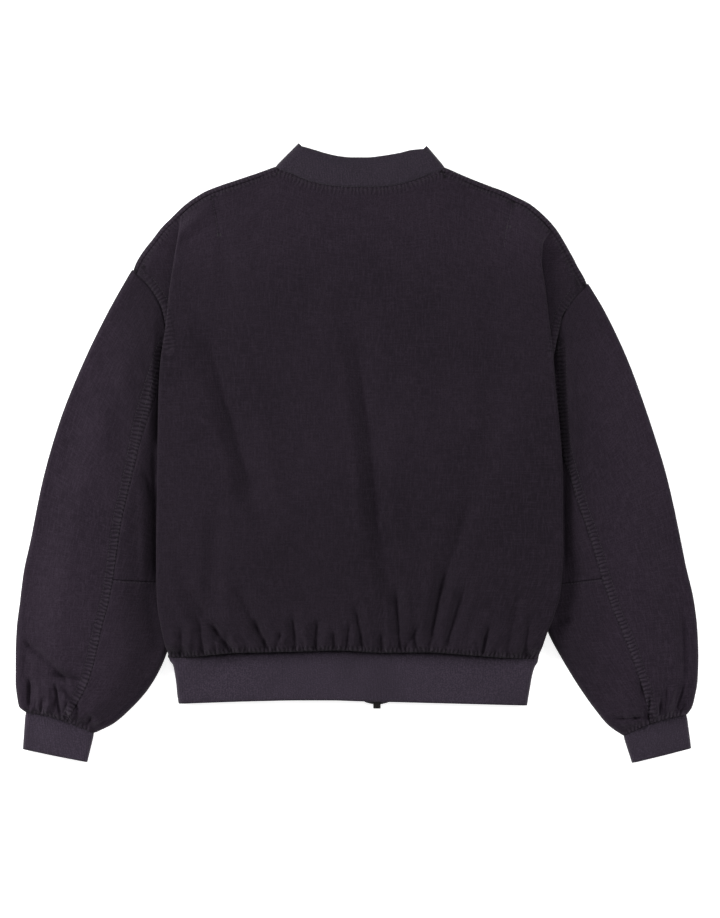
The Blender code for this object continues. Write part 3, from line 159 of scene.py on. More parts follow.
class NodeBoard:  # one material's nodes, wired by short calls
    def __init__(self, name):
        self.material = bpy.data.materials.new(name)
        self.material.use_nodes = True
        self.tree = self.material.node_tree
        self.shader = self.tree.nodes["Principled BSDF"].inputs
        self.object = self.add("ShaderNodeTexCoord", {})["Object"]

    def add(self, kind, inputs, **settings):
        return addNode(self.tree, kind, inputs, **settings)

    def math(self, operation, one, two=0.0, clamp=False):
        return self.add("ShaderNodeMath", {0: one, 1: two}, operation=operation, use_clamp=clamp)[0]

    def plus(self, one, two):
        return self.math("ADD", one, two)

    def less(self, one, two):
        return self.math("SUBTRACT", one, two)

    def times(self, one, two, clamp=False):
        return self.math("MULTIPLY", one, two, clamp)

    def wave(self, value):
        return self.math("SINE", value)

    def halfUp(self, value):  # from -1..1 to 0..1
        return self.plus(self.times(value, 0.5), 0.5)

    def attribute(self, name):
        return self.add("ShaderNodeAttribute", {}, attribute_name=name)["Fac"]

    def clothPlace(self):  # metres across and along the cloth
        weave = self.add("ShaderNodeUVMap", {}, uv_map="cloth")["UV"]
        split = self.add("ShaderNodeSeparateXYZ", {0: weave})
        return weave, split["X"], split["Y"]

    def mixColour(self, share, one, two):
        one, two = ((*value, 1) if isinstance(value, tuple) else value for value in (one, two))
        return self.add("ShaderNodeMix", {"Factor": share, "A": one, "B": two}, data_type="RGBA")["Result"]

    def noise(self, vector, scale, detail, roughness=0.5):
        given = {"Vector": vector, "Scale": scale, "Detail": detail, "Roughness": roughness}
        return self.add("ShaderNodeTexNoise", given)["Fac"]

    def slub(self, vector, scale):  # threads that are thicker and thinner along their length
        return self.noise(self.add("ShaderNodeMapping", {"Vector": vector, "Scale": scale})["Vector"], 1.0,
                          3.0, 0.7)

    def ramp(self, value, low, high):
        given = {"Value": value, "From Min": low, "From Max": high}
        return self.add("ShaderNodeMapRange", given, interpolation_type="SMOOTHSTEP")["Result"]

    def give(self, name, value):
        self.tree.links.new(value, self.shader[name])

    def paint(self, colour):  # painted shade and light, kept on the mesh as a factor, scales the colour
        shadedColour = self.add("ShaderNodeVectorMath", {0: colour, "Scale": self.attribute("paintedShade")},
                          operation="SCALE")
        self.give("Base Color", shadedColour[0])

    def raiseBy(self, *heights):  # pairs of height and depth, laid one over another
        normal = {}
        for height, depth in heights:
            given = {"Strength": 1.0, "Distance": depth * mm, "Height": height, **normal}
            normal = {"Normal": self.add("ShaderNodeBump", given)["Normal"]}
        self.give("Normal", normal["Normal"])

    def nap(self, look, fibres):
        self.give("Roughness", self.plus(self.times(fibres, look["fibreRoughness"]), look["roughness"]))
        self.shader["Sheen Weight"].default_value = look["sheen"]
        self.shader["Sheen Roughness"].default_value = look["sheenRoughness"]
        self.shader["Specular IOR Level"].default_value = look["specular"]


def washedCotton():
    look = clothLook
    board = NodeBoard("washedCotton")
    times = board.times
    weave, across, down = board.clothPlace()
    turn = 2 * math.pi / (look["threadPitch"] * mm)
    warp, weft = board.wave(times(across, turn)), board.wave(times(down, turn))
    warpSlub, weftSlub = board.slub(weave, look["warpSlub"]), board.slub(weave, look["weftSlub"])
    cloudy = board.noise(board.object, 7.0, 4.0, 0.6)
    fleck = board.noise(board.object, 640.0, 2.0, 0.6)
    colour = board.mixColour(board.ramp(cloudy, 0.38, 0.75), look["colour"], look["deep"])
    colour = board.mixColour(times(board.ramp(warpSlub, 0.41, 0.70), look["warpFaded"]), colour,
                             look["faded"])
    colour = board.mixColour(times(board.ramp(weftSlub, 0.43, 0.72), look["weftFaded"]), colour,
                             look["faded"])
    colour = board.mixColour(times(board.ramp(fleck, 0.45, 0.68), look["fleckDeep"]), colour, look["deep"])
    run, far, pull, row, wear = map(board.attribute, ("seamRun", "seamFar", "seamPull", "seamRow", "wear"))
    drift = times(board.noise(board.object, 95.0, 2.0), look["puckerDrift"])
    waves = board.wave(board.plus(times(run, 2 * math.pi / look["puckerPitch"]), drift))
    waves = times(waves, board.less(1.0, board.ramp(far, *look["puckerFade"])))
    beside = board.math("ABSOLUTE", board.less(far, row))
    groove = times(board.less(1.0, board.ramp(beside, *look["grooveEdges"])), board.ramp(pull, 0, 0.1))
    pucker = board.less(times(waves, pull), times(groove, look["grooveDepth"]))
    crest = times(board.halfUp(waves), wear)
    colour = board.mixColour(times(crest, look["crestWorn"], True), colour, look["worn"])
    # painted shade: pucker troughs and the grooves beside the stitches darken towards the deep colour
    board.paint(board.mixColour(times(pucker, look["puckerShade"], True), colour, look["deep"]))
    board.raiseBy((board.noise(board.object, look["crumpleSize"], 4.0, 0.55), look["crumpleDepth"]),
                  (pucker, 1.0),
                  (board.plus(warpSlub, weftSlub), look["slubDepth"]),
                  (times(warp, weft), look["weaveDepth"]))
    board.nap(look, fleck)
    return board.material


def ribbedKnit():
    look = ribLook
    board = NodeBoard("ribbedKnit")
    times = board.times
    _, across, down = board.clothPlace()
    across = times(across, 2 * math.pi / (look["ribPitch"] * mm))
    down = times(down, 2 * math.pi / (look["stitchPitch"] * mm))
    loops = board.halfUp(board.wave(board.plus(down, across)))
    height = board.plus(board.halfUp(board.wave(across)), times(loops, look["loopHeight"]))
    fuzz = board.noise(board.object, 700.0, 2.0, 0.6)
    cloudy = board.noise(board.object, 14.0, 3.0, 0.6)
    # painted shade: the valleys between the ribs are darker than the crests
    colour = board.mixColour(board.ramp(height, -0.6, 1.1), look["groove"], look["colour"])
    colour = board.mixColour(times(board.ramp(fuzz, 0.42, 0.68), look["fuzzShare"]), colour, look["fuzz"])
    board.paint(board.mixColour(times(board.ramp(cloudy, 0.4, 0.75), look["cloudShare"]), colour,
                                look["groove"]))
    board.raiseBy((fuzz, look["fuzzDepth"]), (height, look["ribDepth"]))
    board.nap(look, fuzz)
    return board.material


def plainFinish(name, colour, second, roughness, metallic, scale, depth):
    board = NodeBoard(name)
    grain = board.noise(board.object, scale, 3.0, 0.6)
    board.give("Base Color", board.mixColour(board.ramp(grain, 0.35, 0.7), colour, second))
    board.give("Roughness", board.plus(board.times(grain, 0.2), roughness - 0.1))
    board.raiseBy((grain, depth))
    board.shader["Metallic"].default_value = metallic
    return board.material


cotton = washedCotton()
knit = ribbedKnit()
thread = plainFinish("seamThread", (0.0075, 0.0050, 0.0082), (0.014, 0.010, 0.015), 0.8, 0.0, 2500, 0.06)
zipTape = plainFinish("wovenTape", (0.014, 0.011, 0.015), (0.022, 0.018, 0.024), 0.8, 0.0, 1800, 0.05)
zipMetal = plainFinish("gunmetal", (0.055, 0.050, 0.050), (0.030, 0.027, 0.027), 0.42, 1.0, 300, 0.02)
print("materials ready")


# The jacket's sizes

shoulderEdge = {  # out, y from the neck to the armhole; the side fold starts at foldStart
    "left": [(94, 328), (116, 320), (137, 313), (155, 307), (173, 300), (185, 293), (195, 286), (204, 278),
             (211, 271), (224, 258), (234, 245), (245, 231), (253, 218), (258, 210)],
    "right": [(101, 327), (131, 314), (149, 307), (168, 300), (183, 293), (197, 286), (212, 274), (227, 258),
              (235, 246), (243, 232), (248, 223), (253, 213), (259, 203), (265, 194)],
}
foldStart = 7
neckCornerWay = (-0.75, -0.66)  # inwards from the neck's end of the shoulder
neckBack = [(-77, 320), (-55, 311), (-29, 305.5), (-8, 304), (18, 304), (41, 305.5), (60, 310), (80, 317)]
neckFront = {"left": [(83, 302), (65, 279), (37, 261), (12, 252)],
             "right": [(90, 302), (73, 279), (48, 261), (28, 252)]}
collarCorner = {"left": (67, 355), "right": (80, 352)}
collarBack = [(-50, 347), (-35, 342.5), (-18, 339), (-6, 338), (12, 338), (30, 340), (48, 343), (63, 346.5)]
collarFront = {"left": [(57, 331), (45, 311), (25, 296), (4, 288)],
               "right": [(70, 331), (59, 311), (41, 296), (22, 288)]}
foldEdge = {  # y, out, top
    "left": [(277, 200, 12), (256, 203, 17), (227, 208, 20.4), (187, 214, 21), (141, 219, 21), (99, 225, 21),
             (57, 227, 21), (-28, 228, 21), (-111, 229, 23.5), (-168, 228, 25.5), (-201, 223, 25.5),
             (-231, 216, 25)],
    "right": [(258, 222, 12), (240, 212, 17), (219, 211, 20.4), (189, 215, 21), (154, 219, 21),
              (130, 222, 21),
              (73, 227, 21), (23, 232, 21), (-28, 235, 21), (-117, 235, 23.5), (-158, 232, 25.5),
              (-187, 224, 25.5),
              (-205, 217, 25), (-232, 208, 24)],
}
foldDepth = [(280, 0), (258, 3), (231, 9), (205, 15), (150, 25), (107, 31), (61, 35), (20, 38), (-9, 38)]
sideSeam = {  # y, out
    "left": [(-8, 186), (-54, 185), (-123, 191), (-192, 202), (-234, 216)],
    "right": [(-9, 194), (-54, 193), (-123, 197), (-180, 207), (-235, 208)],
}
hemSeam = [(-217, -234), (-197, -234), (-141, -229.5), (-77, -228), (-20, -226.5), (29, -229), (77, -228.5),
           (125, -231.5), (173, -235), (209, -236)]
hemEdge = [(-205, -287), (-117, -284), (-65, -283), (-29, -283), (3, -284), (45, -285), (122, -287),
           (196, -289)]
hemSide = {  # below the seam, out
    "left": [(0, 216), (2, 216), (7, 211.5), (18, 209), (32, 207), (44, 206), (54, 204.5)],
    "right": [(0, 208), (2, 208), (7, 204.5), (18, 201), (32, 198.5), (44, 196.5), (54, 195)],
}
backHeight = [(280, 15, 17, 15), (210, 20, 19, 20), (140, 21, 20, 21), (60, 21, 20, 21.5),
              (-30, 21.5, 20.5, 22),
              (-110, 24, 22, 24), (-170, 25.5, 24.5, 25.5), (-235, 25.5, 25.5, 25)]  # y, left, middle, right
armholeBow = {"left": 20.0, "right": 16.0}
bowShape = [(0, 0), (0.1, 0.72), (0.2, 1), (0.3, 0.88), (0.47, 0.56), (0.68, 0.3), (0.87, 0.1), (1, 0)]
sleeveRings = {  # outer out, outer y, inner out, inner y, edge radius, top, tuck, bow
    "left": [
        (258, 210, 186, -8, 6, 13.5, 163, 1), (285, 162, 188, -39, 6, 16, 94, 0.6),
        (312, 107, 189, -68, 6, 19, 66, 0.3),
        (340, 38, 192, -94, 6, 21, 49, 0.1), (360, -31, 194, -121, 6, 22.5, 40, 0),
        (374, -100, 196, -140, 6, 23.5, 34, 0),
        (382, -137, 197, -150, 6, 24, 31, 0), (386, -169, 202, -174, 6, 24.5, 26, 0),
        (390, -203, 210, -205, 6.5, 25, 14, 0),
        (391, -232, 222, -240, 7, 25.5, 4, 0), (391, -261, 238, -269, 7.5, 26, 0, 0),
        (389, -280, 259, -293, 8, 26, 0, 0),
        (387, -290, 279, -310, 8, 23, 0, 0), (380, -297, 301, -321, 5, 12, 0, 0)],
    "right": [
        (265, 194, 194, -9, 6, 13.5, 173, 1), (284, 162, 196, -39, 6, 16, 95, 0.6),
        (310, 107, 197, -68, 6, 19, 66, 0.3),
        (335, 38, 200, -94, 6, 21, 50, 0.1), (356, -31, 202, -121, 6, 22.5, 40, 0),
        (371, -100, 204, -140, 6, 23.5, 34, 0),
        (377, -130, 205, -153, 6, 24, 31, 0), (386, -169, 210, -177, 6, 24.5, 20, 0),
        (390, -203, 219, -206, 6.5, 25, 5, 0),
        (391, -232, 236, -238, 7, 25.5, 0, 0), (390, -261, 255, -269, 7.5, 26, 0, 0),
        (387, -278, 272, -293, 8, 26, 0, 0),
        (384, -290, 288, -312, 8, 23, 0, 0), (378, -300, 305, -324, 5, 12, 0, 0)],
}
cuffEnds = {"left": (383, -339, 309, -354, 5, 12, 0, 0), "right": (383, -338, 315, -355, 5, 12, 0, 0)}
backSeam = {  # out, y of the long seam on each sleeve
    "left": [(217, 124), (228, 93), (239, 57), (246, 32), (251, 5), (263, -54), (267, -69), (278, -146),
             (284, -176),
             (293, -209), (301, -247), (309, -269), (320, -288), (328, -304)],
    "right": [(228, 124), (231, 61), (234, 15), (238, -7), (246, -36), (256, -69), (265, -94), (272, -119),
              (279, -142), (293, -184), (307, -215), (318, -248), (328, -277), (334, -309)],
}
crossRing, lastRing = 6, 13
edgeRadius = 6.0
flatTop = 2 * edgeRadius
neckRise = {"height": 1.5, "halfWidth": 95}  # the neck seam stands a little higher at the middle
armholeEnd = 112  # the fold of the back hides the armhole seam below this
bodyFolds = [  # x0, y0, x1, y1, half width, depth
    (-152, 250, -150, 190, 12, 1.6), (-176, 150, -134, 20, 26, 5.2), (-136, 50, -116, -60, 22, 5.2),
    (-128, -20, -96, -90, 20, 4.4), (-8, 190, 10, 100, 22, 3.4), (2, 125, 20, 10, 20, 5.2),
             (19, 30, 23, -80, 18, 5.6),
    (24, -60, 44, -195, 15, 5.0), (70, 130, 60, -10, 26, -2.4), (60, 40, 70, -120, 26, 2.4),
             (150, 180, 160, -20, 18, 2.2),
    (160, 60, 122, -90, 16, 2.6), (128, -60, 94, -164, 11, 3.6), (-160, -60, -166, -190, 13, 3.4),
    (-168, 120, -122, -40, 9, 3.0), (2, 110, 26, -110, 9, 3.3),
    (-90, 60, -60, -120, 30, 2.6), (100, -130, 82, -225, 7, 6.0), (124, -146, 98, -228, 7, 4.6),
    (70, -198, 52, -228, 6, 4.5), (45, -155, 49, -228, 6, 5.0), (-2, -176, 7, -226, 6, 5.0),
             (-9, -194, -12, -226, 5, 4.5),
    (-27, -204, -27, -228, 5, 4.0), (-45, -190, -49, -228, 6, 5.5), (-74, -186, -69, -228, 6, 5.5),
    (-139, -150, -110, -205, 10, 4.0), (-118, -192, -99, -228, 7, 6.0), (-190, -160, -158, -208, 10, 4.0),
    (-166, -196, -140, -230, 7, 6.0), (-205, -120, -180, -192, 12, 2.6), (-181, -186, -175, -232, 6, 4.5),
    (151, -196, 142, -230, 6, 5.0), (184, -160, 170, -232, 8, 3.4), (196, -190, 190, -233, 5, 3.5),
    (-200, -200, -201, -233, 5, 3.5), (28, -206, 29, -228, 5, 4.0), (66, -208, 68, -228, 5, 3.5),
]
sleeveFolds = {
    "left": [(-392, -206, -350, -240, 5, 4.5), (-352, -238, -328, -262, 5, 4.5),
             (-374, -258, -375, -292, 5, 6.0),
             (-350, -252, -312, -261, 6, 5.0), (-344, -262, -338, -298, 4.5, 5.5),
             (-338, -264, -316, -293, 5, 4.5),
             (-302, -299, -311, -314, 4, 4.5), (-288, -306, -299, -318, 4, 3.5),
             (-358, -280, -361, -298, 4, 3.0),
             (-378, -222, -383, -262, 7, 3.0), (-359, -262, -357, -294, 9, -3.0),
             (-328, -270, -325, -302, 7, -2.5), (-304, -288, -293, -312, 7, -2.5),
             (-290, 120, -262, -10, 16, 2.5),
             (-330, 90, -352, -30, 12, -2.0), (-222, 128, -229, 10, 5, 4.5), (-232, 0, -230, -150, 7, 5.0),
             (-246, -16, -232, -55, 6, 3.6)],
    "right": [(389, -258, 370, -297, 4.5, 8.0), (322, -258, 330, -308, 8, 5.0),
              (334, -276, 333, -308, 4, 4.5),
              (346, -280, 343, -306, 4, 4.0), (375, -262, 361, -300, 4.5, 5.0),
              (280, -306, 328, -301, 4, 4.5),
              (353, -262, 351, -300, 4, 3.0), (372, -180, 375, -262, 7, 3.0), (214, -192, 250, -190, 6, 2.5),
              (259, 184, 284, 126, 6, -2.4), (268, 184, 292, 130, 6, 2.2), (305, -298, 313, -318, 10, -3.0),
              (357, -266, 350, -300, 7, -2.5), (280, 150, 300, 60, 12, -1.6), (222, 178, 229, 90, 7, 6.0),
              (228, 110, 237, -20, 8, 7.0),
              (238, -10, 238, -130, 6, 4.0)],
}


def curveAt(xs, ys, at):  # a smooth curve through the stations that never swings past them
    xs, ys = np.asarray(xs, float), np.asarray(ys, float)
    if xs[0] > xs[-1]:
        xs, ys = xs[::-1], ys[::-1]
    at = np.clip(np.asarray(at, float), xs[0], xs[-1])
    step = np.diff(xs)
    slope = np.diff(ys) / step
    tangent = np.concatenate([slope[:1], np.zeros(len(xs) - 2), slope[-1:]])
    for i in range(1, len(xs) - 1):
        if slope[i - 1] * slope[i] > 0:
            before, after = 2 * step[i] + step[i - 1], step[i] + 2 * step[i - 1]
            tangent[i] = (before + after) / (before / slope[i - 1] + after / slope[i])
    i = np.clip(np.searchsorted(xs, at, side="right") - 1, 0, len(xs) - 2)
    t = (at - xs[i]) / step[i]
    rise = ys[i] * (1 + 2 * t) * (1 - t) ** 2 + ys[i + 1] * t * t * (3 - 2 * t)
    return rise + step[i] * (tangent[i] * t * (1 - t) ** 2 - tangent[i + 1] * t * t * (1 - t))


def column(table, number, at):
    return curveAt([row[0] for row in table], [row[number] for row in table], at)


def ease(value):
    t = np.clip(value, 0, 1)
    return t * t * (3 - 2 * t)


def blend(a, b, t):
    return a + (b - a) * t


def onward(start, end, count):  # evenly spaced values that leave out the first
    return np.linspace(start, end, count + 1)[1:]


def unit(vectors):
    return vectors / np.linalg.norm(vectors, axis=-1, keepdims=True)


def pathLength(points):  # how far along its line each station is
    return np.concatenate([[0], np.cumsum(np.linalg.norm(np.diff(points, axis=0), axis=1))])


def threadLine(points, places):  # points along a line through its stations
    points = np.asarray(points, float)
    travel = pathLength(points)
    at = np.asarray(places) * travel[-1]
    return np.column_stack([curveAt(travel, points[:, k], at) for k in range(points.shape[1])])


def bell(value):  # 1 in the middle, 0 from 1 outwards
    return np.clip(1 - value * value, 0, 1) ** 2


creaseLook = {"widen": 1.3, "narrow": 5, "wide": 12, "deep": 2.9, "crisp": 0.5, "crispWidth": 0.6,
              "lip": 0.25}


def foldPull(folds, x, y):  # how far a set of creases draws the cloth down
    look = creaseLook
    total = np.zeros(np.broadcast(x, y).shape)
    for x0, y0, x1, y1, halfWidth, depth in folds:
        length = math.hypot(x1 - x0, y1 - y0)
        ax, ay = (x1 - x0) / length, (y1 - y0) / length
        travel = ((x - x0) * ax + (y - y0) * ay) / length
        across = np.abs((y - y0) * ax - (x - x0) * ay)
        profile = bell(across / (halfWidth * look["widen"]))
        if depth > 0 and (halfWidth < look["narrow"] or (depth > look["deep"] and halfWidth < look["wide"])):
            middle, lip = bell(across / (halfWidth * look["crispWidth"])), bell(across / halfWidth - 2)
            profile = (1 - look["crisp"]) * profile + look["crisp"] * middle - look["lip"] * lip
        total += depth * profile * ease((travel + 0.15) / 0.45) * ease((1.1 - travel) / 0.3)
    return total


zipPlan = {"top": (8.0, 249.0), "bottom": (23.0, -288.0)}
zipRise = {"height": 3.5, "halfWidth": 13, "from": 160, "fromSpan": 35, "to": 300, "toSpan": 40}


def zipLine(y):
    (x0, y0), (x1, y1) = zipPlan["top"], zipPlan["bottom"]
    return blend(x0, x1, (y0 - y) / (y0 - y1))


def zipBump(x, y):  # the fronts rise a little over the slider and its pull
    size = zipRise
    across = ease(2.2 - np.abs(x - zipLine(y)) / size["halfWidth"])
    along = ease((y - size["from"]) / size["fromSpan"]) * ease((size["to"] - y) / size["toSpan"])
    return size["height"] * across * along


def neckHump(x):
    return neckRise["height"] * np.clip(1 - (x / neckRise["halfWidth"]) ** 2, 0, 1)


def hemLine(x):
    return column(hemSeam, 1, x)


def armholePoint(side, share):
    outerOut, outerY, innerOut, innerY = sleeveRings[side][0][:4]
    bow = armholeBow[side] * column(bowShape, 1, 1 - share)
    return blend(innerOut, outerOut, share) - bow, blend(innerY, outerY, share)


def armholeWidth(side):
    outerOut, outerY, innerOut, innerY = sleeveRings[side][0][:4]
    return math.hypot(outerOut - innerOut, outerY - innerY)


def shoulderTop(side):  # the shoulder seam, on top of the edge, and the way inwards from each point
    edge = np.array(shoulderEdge[side], float)
    seam, inwards = [], []
    for k in range(len(edge) - 1):
        run = unit(edge[k + 1] - edge[max(k - 1, 0)])
        inward = unit(blend(np.array([run[1], -run[0]]), np.array(neckCornerWay), ease(1 - k / 2)))
        inwards.append(inward)
        seam.append(edge[k] + inward * edgeRadius)
    share = 1 - edgeRadius / armholeWidth(side)
    seam.append(np.array(armholePoint(side, share)))
    inwards.append(unit(seam[-1] - edge[-1]))
    return np.array(seam), np.array(inwards)


def planSeams():  # every sewn line of the back and the sleeves, in plan
    lines = {}
    for side, sign in signs.items():
        top, _ = shoulderTop(side)
        lines["shoulder", side] = threadLine(top, np.linspace(0, 1, 60)) * (sign, 1)
        width = armholeWidth(side)
        shares = np.linspace(1 - edgeRadius / width, 0.0, 70)
        line = np.column_stack(armholePoint(side, shares)) * (sign, 1)
        lines["armhole", side] = line[line[:, 1] > armholeEnd]
        start = ringPoints(side, ringAt(side, 0), [seamPlace(side, ringAt(side, 0), 0)])[0, :2]
        seam = np.concatenate([[start], np.array(backSeam[side], float) * (sign, 1)])
        lines["sleeve", side] = threadLine(seam, np.linspace(0, 1, 90))
        ring = ringAt(side, crossRing)
        lines["cross", side] = ringPoints(side, ring, np.linspace(1, seamPlace(side, ring, crossRing),
                                                                  20))[:, :2]
        lines["cuff", side] = ringPoints(side, ringAt(side, lastRing), np.linspace(1, 2, 30), 4.0)[:, :2]
    x = np.linspace(-216, 208, 120)
    lines["hem"] = np.column_stack([x, hemLine(x)])
    left, right = lines["shoulder", "left"][0], lines["shoulder", "right"][0]
    lines["neck"] = threadLine([tuple(left)] + neckBack + [tuple(right)], np.linspace(0, 1, 60))
    for name, points in darts.items():
        lines["dart", name] = threadLine(points, np.linspace(0, 1, 12))
    return lines


def shiftLine(line, by):  # a line beside another; above 0 is to its left
    run = np.gradient(line, axis=0)
    away = np.column_stack([-run[:, 1], run[:, 0]])
    return line + by * unit(away)


darts = {  # short sewn lines below the shoulders
    "left": [(-163.6, 291), (-161.5, 276), (-158.6, 262), (-157.3, 249)],
    "right": [(175.6, 283), (172.5, 268), (168.8, 253.7), (166.5, 234)],
}


# Mesh making

def gridFaces(rows, columns):
    r, c = np.meshgrid(np.arange(rows - 1), np.arange(columns - 1), indexing="ij")
    first = (r * columns + c).ravel()
    return np.column_stack([first, first + 1, first + columns + 1, first + columns])


def gridUv(points):  # cloth across and along, from the middle of the top row
    u = np.array([pathLength(row) for row in points])
    middle = u.shape[1] // 2
    u -= u[:, middle:middle + 1]
    v = -pathLength(points[:, middle])
    return np.dstack([u, np.repeat(v[:, None], u.shape[1], 1)])


def outwardNormals(grid):  # away from the inside of the jacket, at each point
    down, across = np.gradient(grid, axis=0), np.gradient(grid, axis=1)
    normal = np.cross(down, across)
    length = np.linalg.norm(normal, axis=2)
    facing = (normal[..., 2] * (grid[..., 2] - edgeRadius)).sum()
    return normal / np.maximum(length, 1e-9)[..., None] * (1 if facing > 0 else -1)


def edgeFirst(grid, edge, back=False):  # turned so that an edge is the first row, or back again
    if back and edge in ("bottom", "last"):
        grid = grid[::-1]
    grid = grid.transpose(1, 0, 2) if edge in ("first", "last") else grid
    return grid[::-1] if not back and edge in ("bottom", "last") else grid


def tuckUnder(grid, edges, reach=3.5, drop=1.3,
              slip=0.2):  # a turned-in allowance that lies under the next piece
    normals = outwardNormals(grid)
    for edge in edges:
        work, tilt = edgeFirst(grid, edge), edgeFirst(normals, edge)
        step = work[0] - work[2]
        length = np.linalg.norm(step, axis=1)[:, None]
        step = np.where(length > 0.05, step / np.maximum(length, 1e-9), 0)
        lip = [work[0] - tilt[1] * (drop + slip) + step * reach, work[0] - tilt[1] * drop + step * 0.15]
        if edge in ("top", "bottom"):  # the corners stay inside the piece's own width
            low, high = work[0, :, 0].min() + reach, work[0, :, 0].max() - reach
            for line in lip:
                line[:, 0] = np.clip(line[:, 0], low, high)
        grid = edgeFirst(np.concatenate([lip, work]), edge, True)
        normals = edgeFirst(np.concatenate([tilt[:1], tilt[:1], tilt]), edge, True)
    return grid


def rollEdges(grid, edges, depth=0.55):  # the cloth dips where it is sewn
    normals = outwardNormals(grid)
    for edge in edges:
        work, tilt = edgeFirst(grid, edge), edgeFirst(normals, edge)
        work[0] -= depth * tilt[1]
        work[1] -= depth * 0.35 * tilt[1]
    return grid


seamShift = 37  # so that the puckers of two seams don't line up


def calm(fields, share):  # puckers and wear are kept to a share of their strength
    for key in ("seamPull", "wear"):
        fields[key][0] = fields[key][0] * share


def seamFields(grid, seams):  # for each point: the nearest seam's band, how far along it, and its pull
    x, y = grid[..., 0], grid[..., 1]
    far, run, pull, row = np.full(x.shape, 9.0), np.zeros(x.shape), np.zeros(x.shape), np.full(x.shape, -1.0)
    for number, (line, band, strength, stitched) in enumerate(seams):
        distance, along = lineDistance(x, y, line)
        nearer = distance / band < far
        far = np.where(nearer, distance / band, far)
        run = np.where(nearer, along + seamShift * number, run)
        pull = np.where(nearer, strength, pull)
        row = np.where(nearer, stitched, row)
    wear = np.clip(1.3 - far * 1.3, 0, 1) * np.clip(pull * 2.2 - 0.3, 0, 1)
    return {"seamFar": [far], "seamRun": [run], "seamPull": [pull], "seamRow": [row], "wear": [wear]}


paintedShading = {  # painted shade and light as a colour factor: paler sleeves, shoulders and upper back, darker low on the back, and one brightness factor each for the collar, hem and cuffs
    "sleeve": 0.40, "sleeveFrom": 236, "sleeveSpan": 70, "upper": 0.2, "upperFrom": 170, "upperSpan": 110,
    "low": -0.14, "lowAt": (-30, -130), "lowSize": (170, 80),
    "shoulder": 0.2, "shoulderFrom": (130, 190), "shoulderSpan": 60,
    "collar": 0.72, "hem": 1.0, "left": 1.05, "right": 0.93,
}


# painted shade and light: the colour factor at each point
def paintedShadeAt(points):
    size = paintedShading
    out, y = np.abs(points[..., 0]), points[..., 1]
    paler = size["sleeve"] * ease((out - size["sleeveFrom"]) / size["sleeveSpan"])
    paler = paler + size["upper"] * ease((y - size["upperFrom"]) / size["upperSpan"])
    beyond = (ease((value - start) / size["shoulderSpan"]) for value,
              start in zip((out, y), size["shoulderFrom"]))
    paler = paler + size["shoulder"] * math.prod(beyond)
    far = (((points[..., :2] - size["lowAt"]) / size["lowSize"]) ** 2).sum(axis=-1)
    return 1 + paler + size["low"] * np.exp(-far)


def lineDistance(x, y, line):  # distance from each point to a line in plan, and how far along it
    line = np.asarray(line, float)
    px, py = x.ravel(), y.ravel()
    best, along, gone = np.full(px.shape, 1e9), np.zeros(px.shape), 0.0
    for (ax, ay), (bx, by) in zip(line, line[1:]):
        dx, dy = bx - ax, by - ay
        length = math.hypot(dx, dy)
        t = np.clip(((px - ax) * dx + (py - ay) * dy) / length**2, 0, 1)
        far = np.hypot(px - ax - t * dx, py - ay - t * dy)
        nearer = far < best
        best = np.where(nearer, far, best)
        along = np.where(nearer, gone + t * length, along)
        gone += length
    return best.reshape(x.shape), along.reshape(x.shape)


weld = 0.02


# Grids of points in millimetres become one closed shell; fields are values at each point.
def makeShell(name, grids, thickness, material, fields=None, flatUv=False):
    vertices, faces, uvs, start = [], [], [], 0
    fields = fields or {}
    # painted shade and light: a colour factor for each point, unless the fields give one
    fields.setdefault("paintedShade", [paintedShadeAt(points) for points in grids])
    values = {key: [] for key in fields}
    for number, points in enumerate(grids):
        rows, columns = points.shape[:2]
        vertices.append(points.reshape(-1, 3))
        faces.append(gridFaces(rows, columns) + start)
        uvs.append((points[..., :2] if flatUv else gridUv(points)).reshape(-1, 2))
        for key in values:
            values[key].append(np.asarray(fields[key][number], float).reshape(-1))
        start += rows * columns
    vertices, faces, uvs = (np.concatenate(part) for part in (vertices, faces, uvs))
    mesh = bpy.data.meshes.new(name)
    mesh.from_pydata((vertices * mm).tolist(), [], faces.tolist())
    layer = mesh.uv_layers.new(name="cloth")
    layer.data.foreach_set("uv", (uvs[faces.ravel()] * mm).ravel())
    for key, parts in values.items():
        attribute = mesh.attributes.new(key, "FLOAT", "POINT")
        attribute.data.foreach_set("value", np.concatenate(parts))
    form = bmesh.new()
    form.from_mesh(mesh)
    bmesh.ops.remove_doubles(form, verts=form.verts, dist=weld * mm)
    bmesh.ops.dissolve_degenerate(form, edges=form.edges, dist=weld * mm)
    bmesh.ops.recalc_face_normals(form, faces=form.faces)
    lift = (face.calc_area() * face.normal.z * (face.calc_center_median().z - edgeRadius * mm)
            for face in form.faces)
    if sum(lift) < 0:
        bmesh.ops.reverse_faces(form, faces=form.faces)
    form.to_mesh(mesh)
    form.free()
    mesh.shade_smooth()
    piece = place(name, mesh)
    mesh.materials.append(material)
    wall = piece.modifiers.new("wall", "SOLIDIFY")
    wall.thickness = thickness * mm
    wall.offset = -1
    settle(piece)
    for corner in piece.data.vertices:  # the wall stays above the table
        corner.co.z = abs(corner.co.z)
    return piece


def settle(piece):  # applies what is on the piece, so that it is a plain mesh
    ready = piece.evaluated_get(bpy.context.evaluated_depsgraph_get())
    plain = bpy.data.meshes.new_from_object(ready)
    old = piece.data
    piece.modifiers.clear()
    piece.data = plain
    bpy.data.meshes.remove(old)
    plain.name = piece.name


# Back panel

gathers = {
    "seed": 11, "hemCount": 92, "cuffCount": 24, "jitter": 0.42, "length": (6, 28),
    "lengthSpread": (0.6, 1.2),
    "halfWidth": (2.2, 4.8), "depth": (0.6, 2.8), "lean": 0.24, "swells": 0.3, "swell": -0.7,
    "cuffShare": 0.8,
}


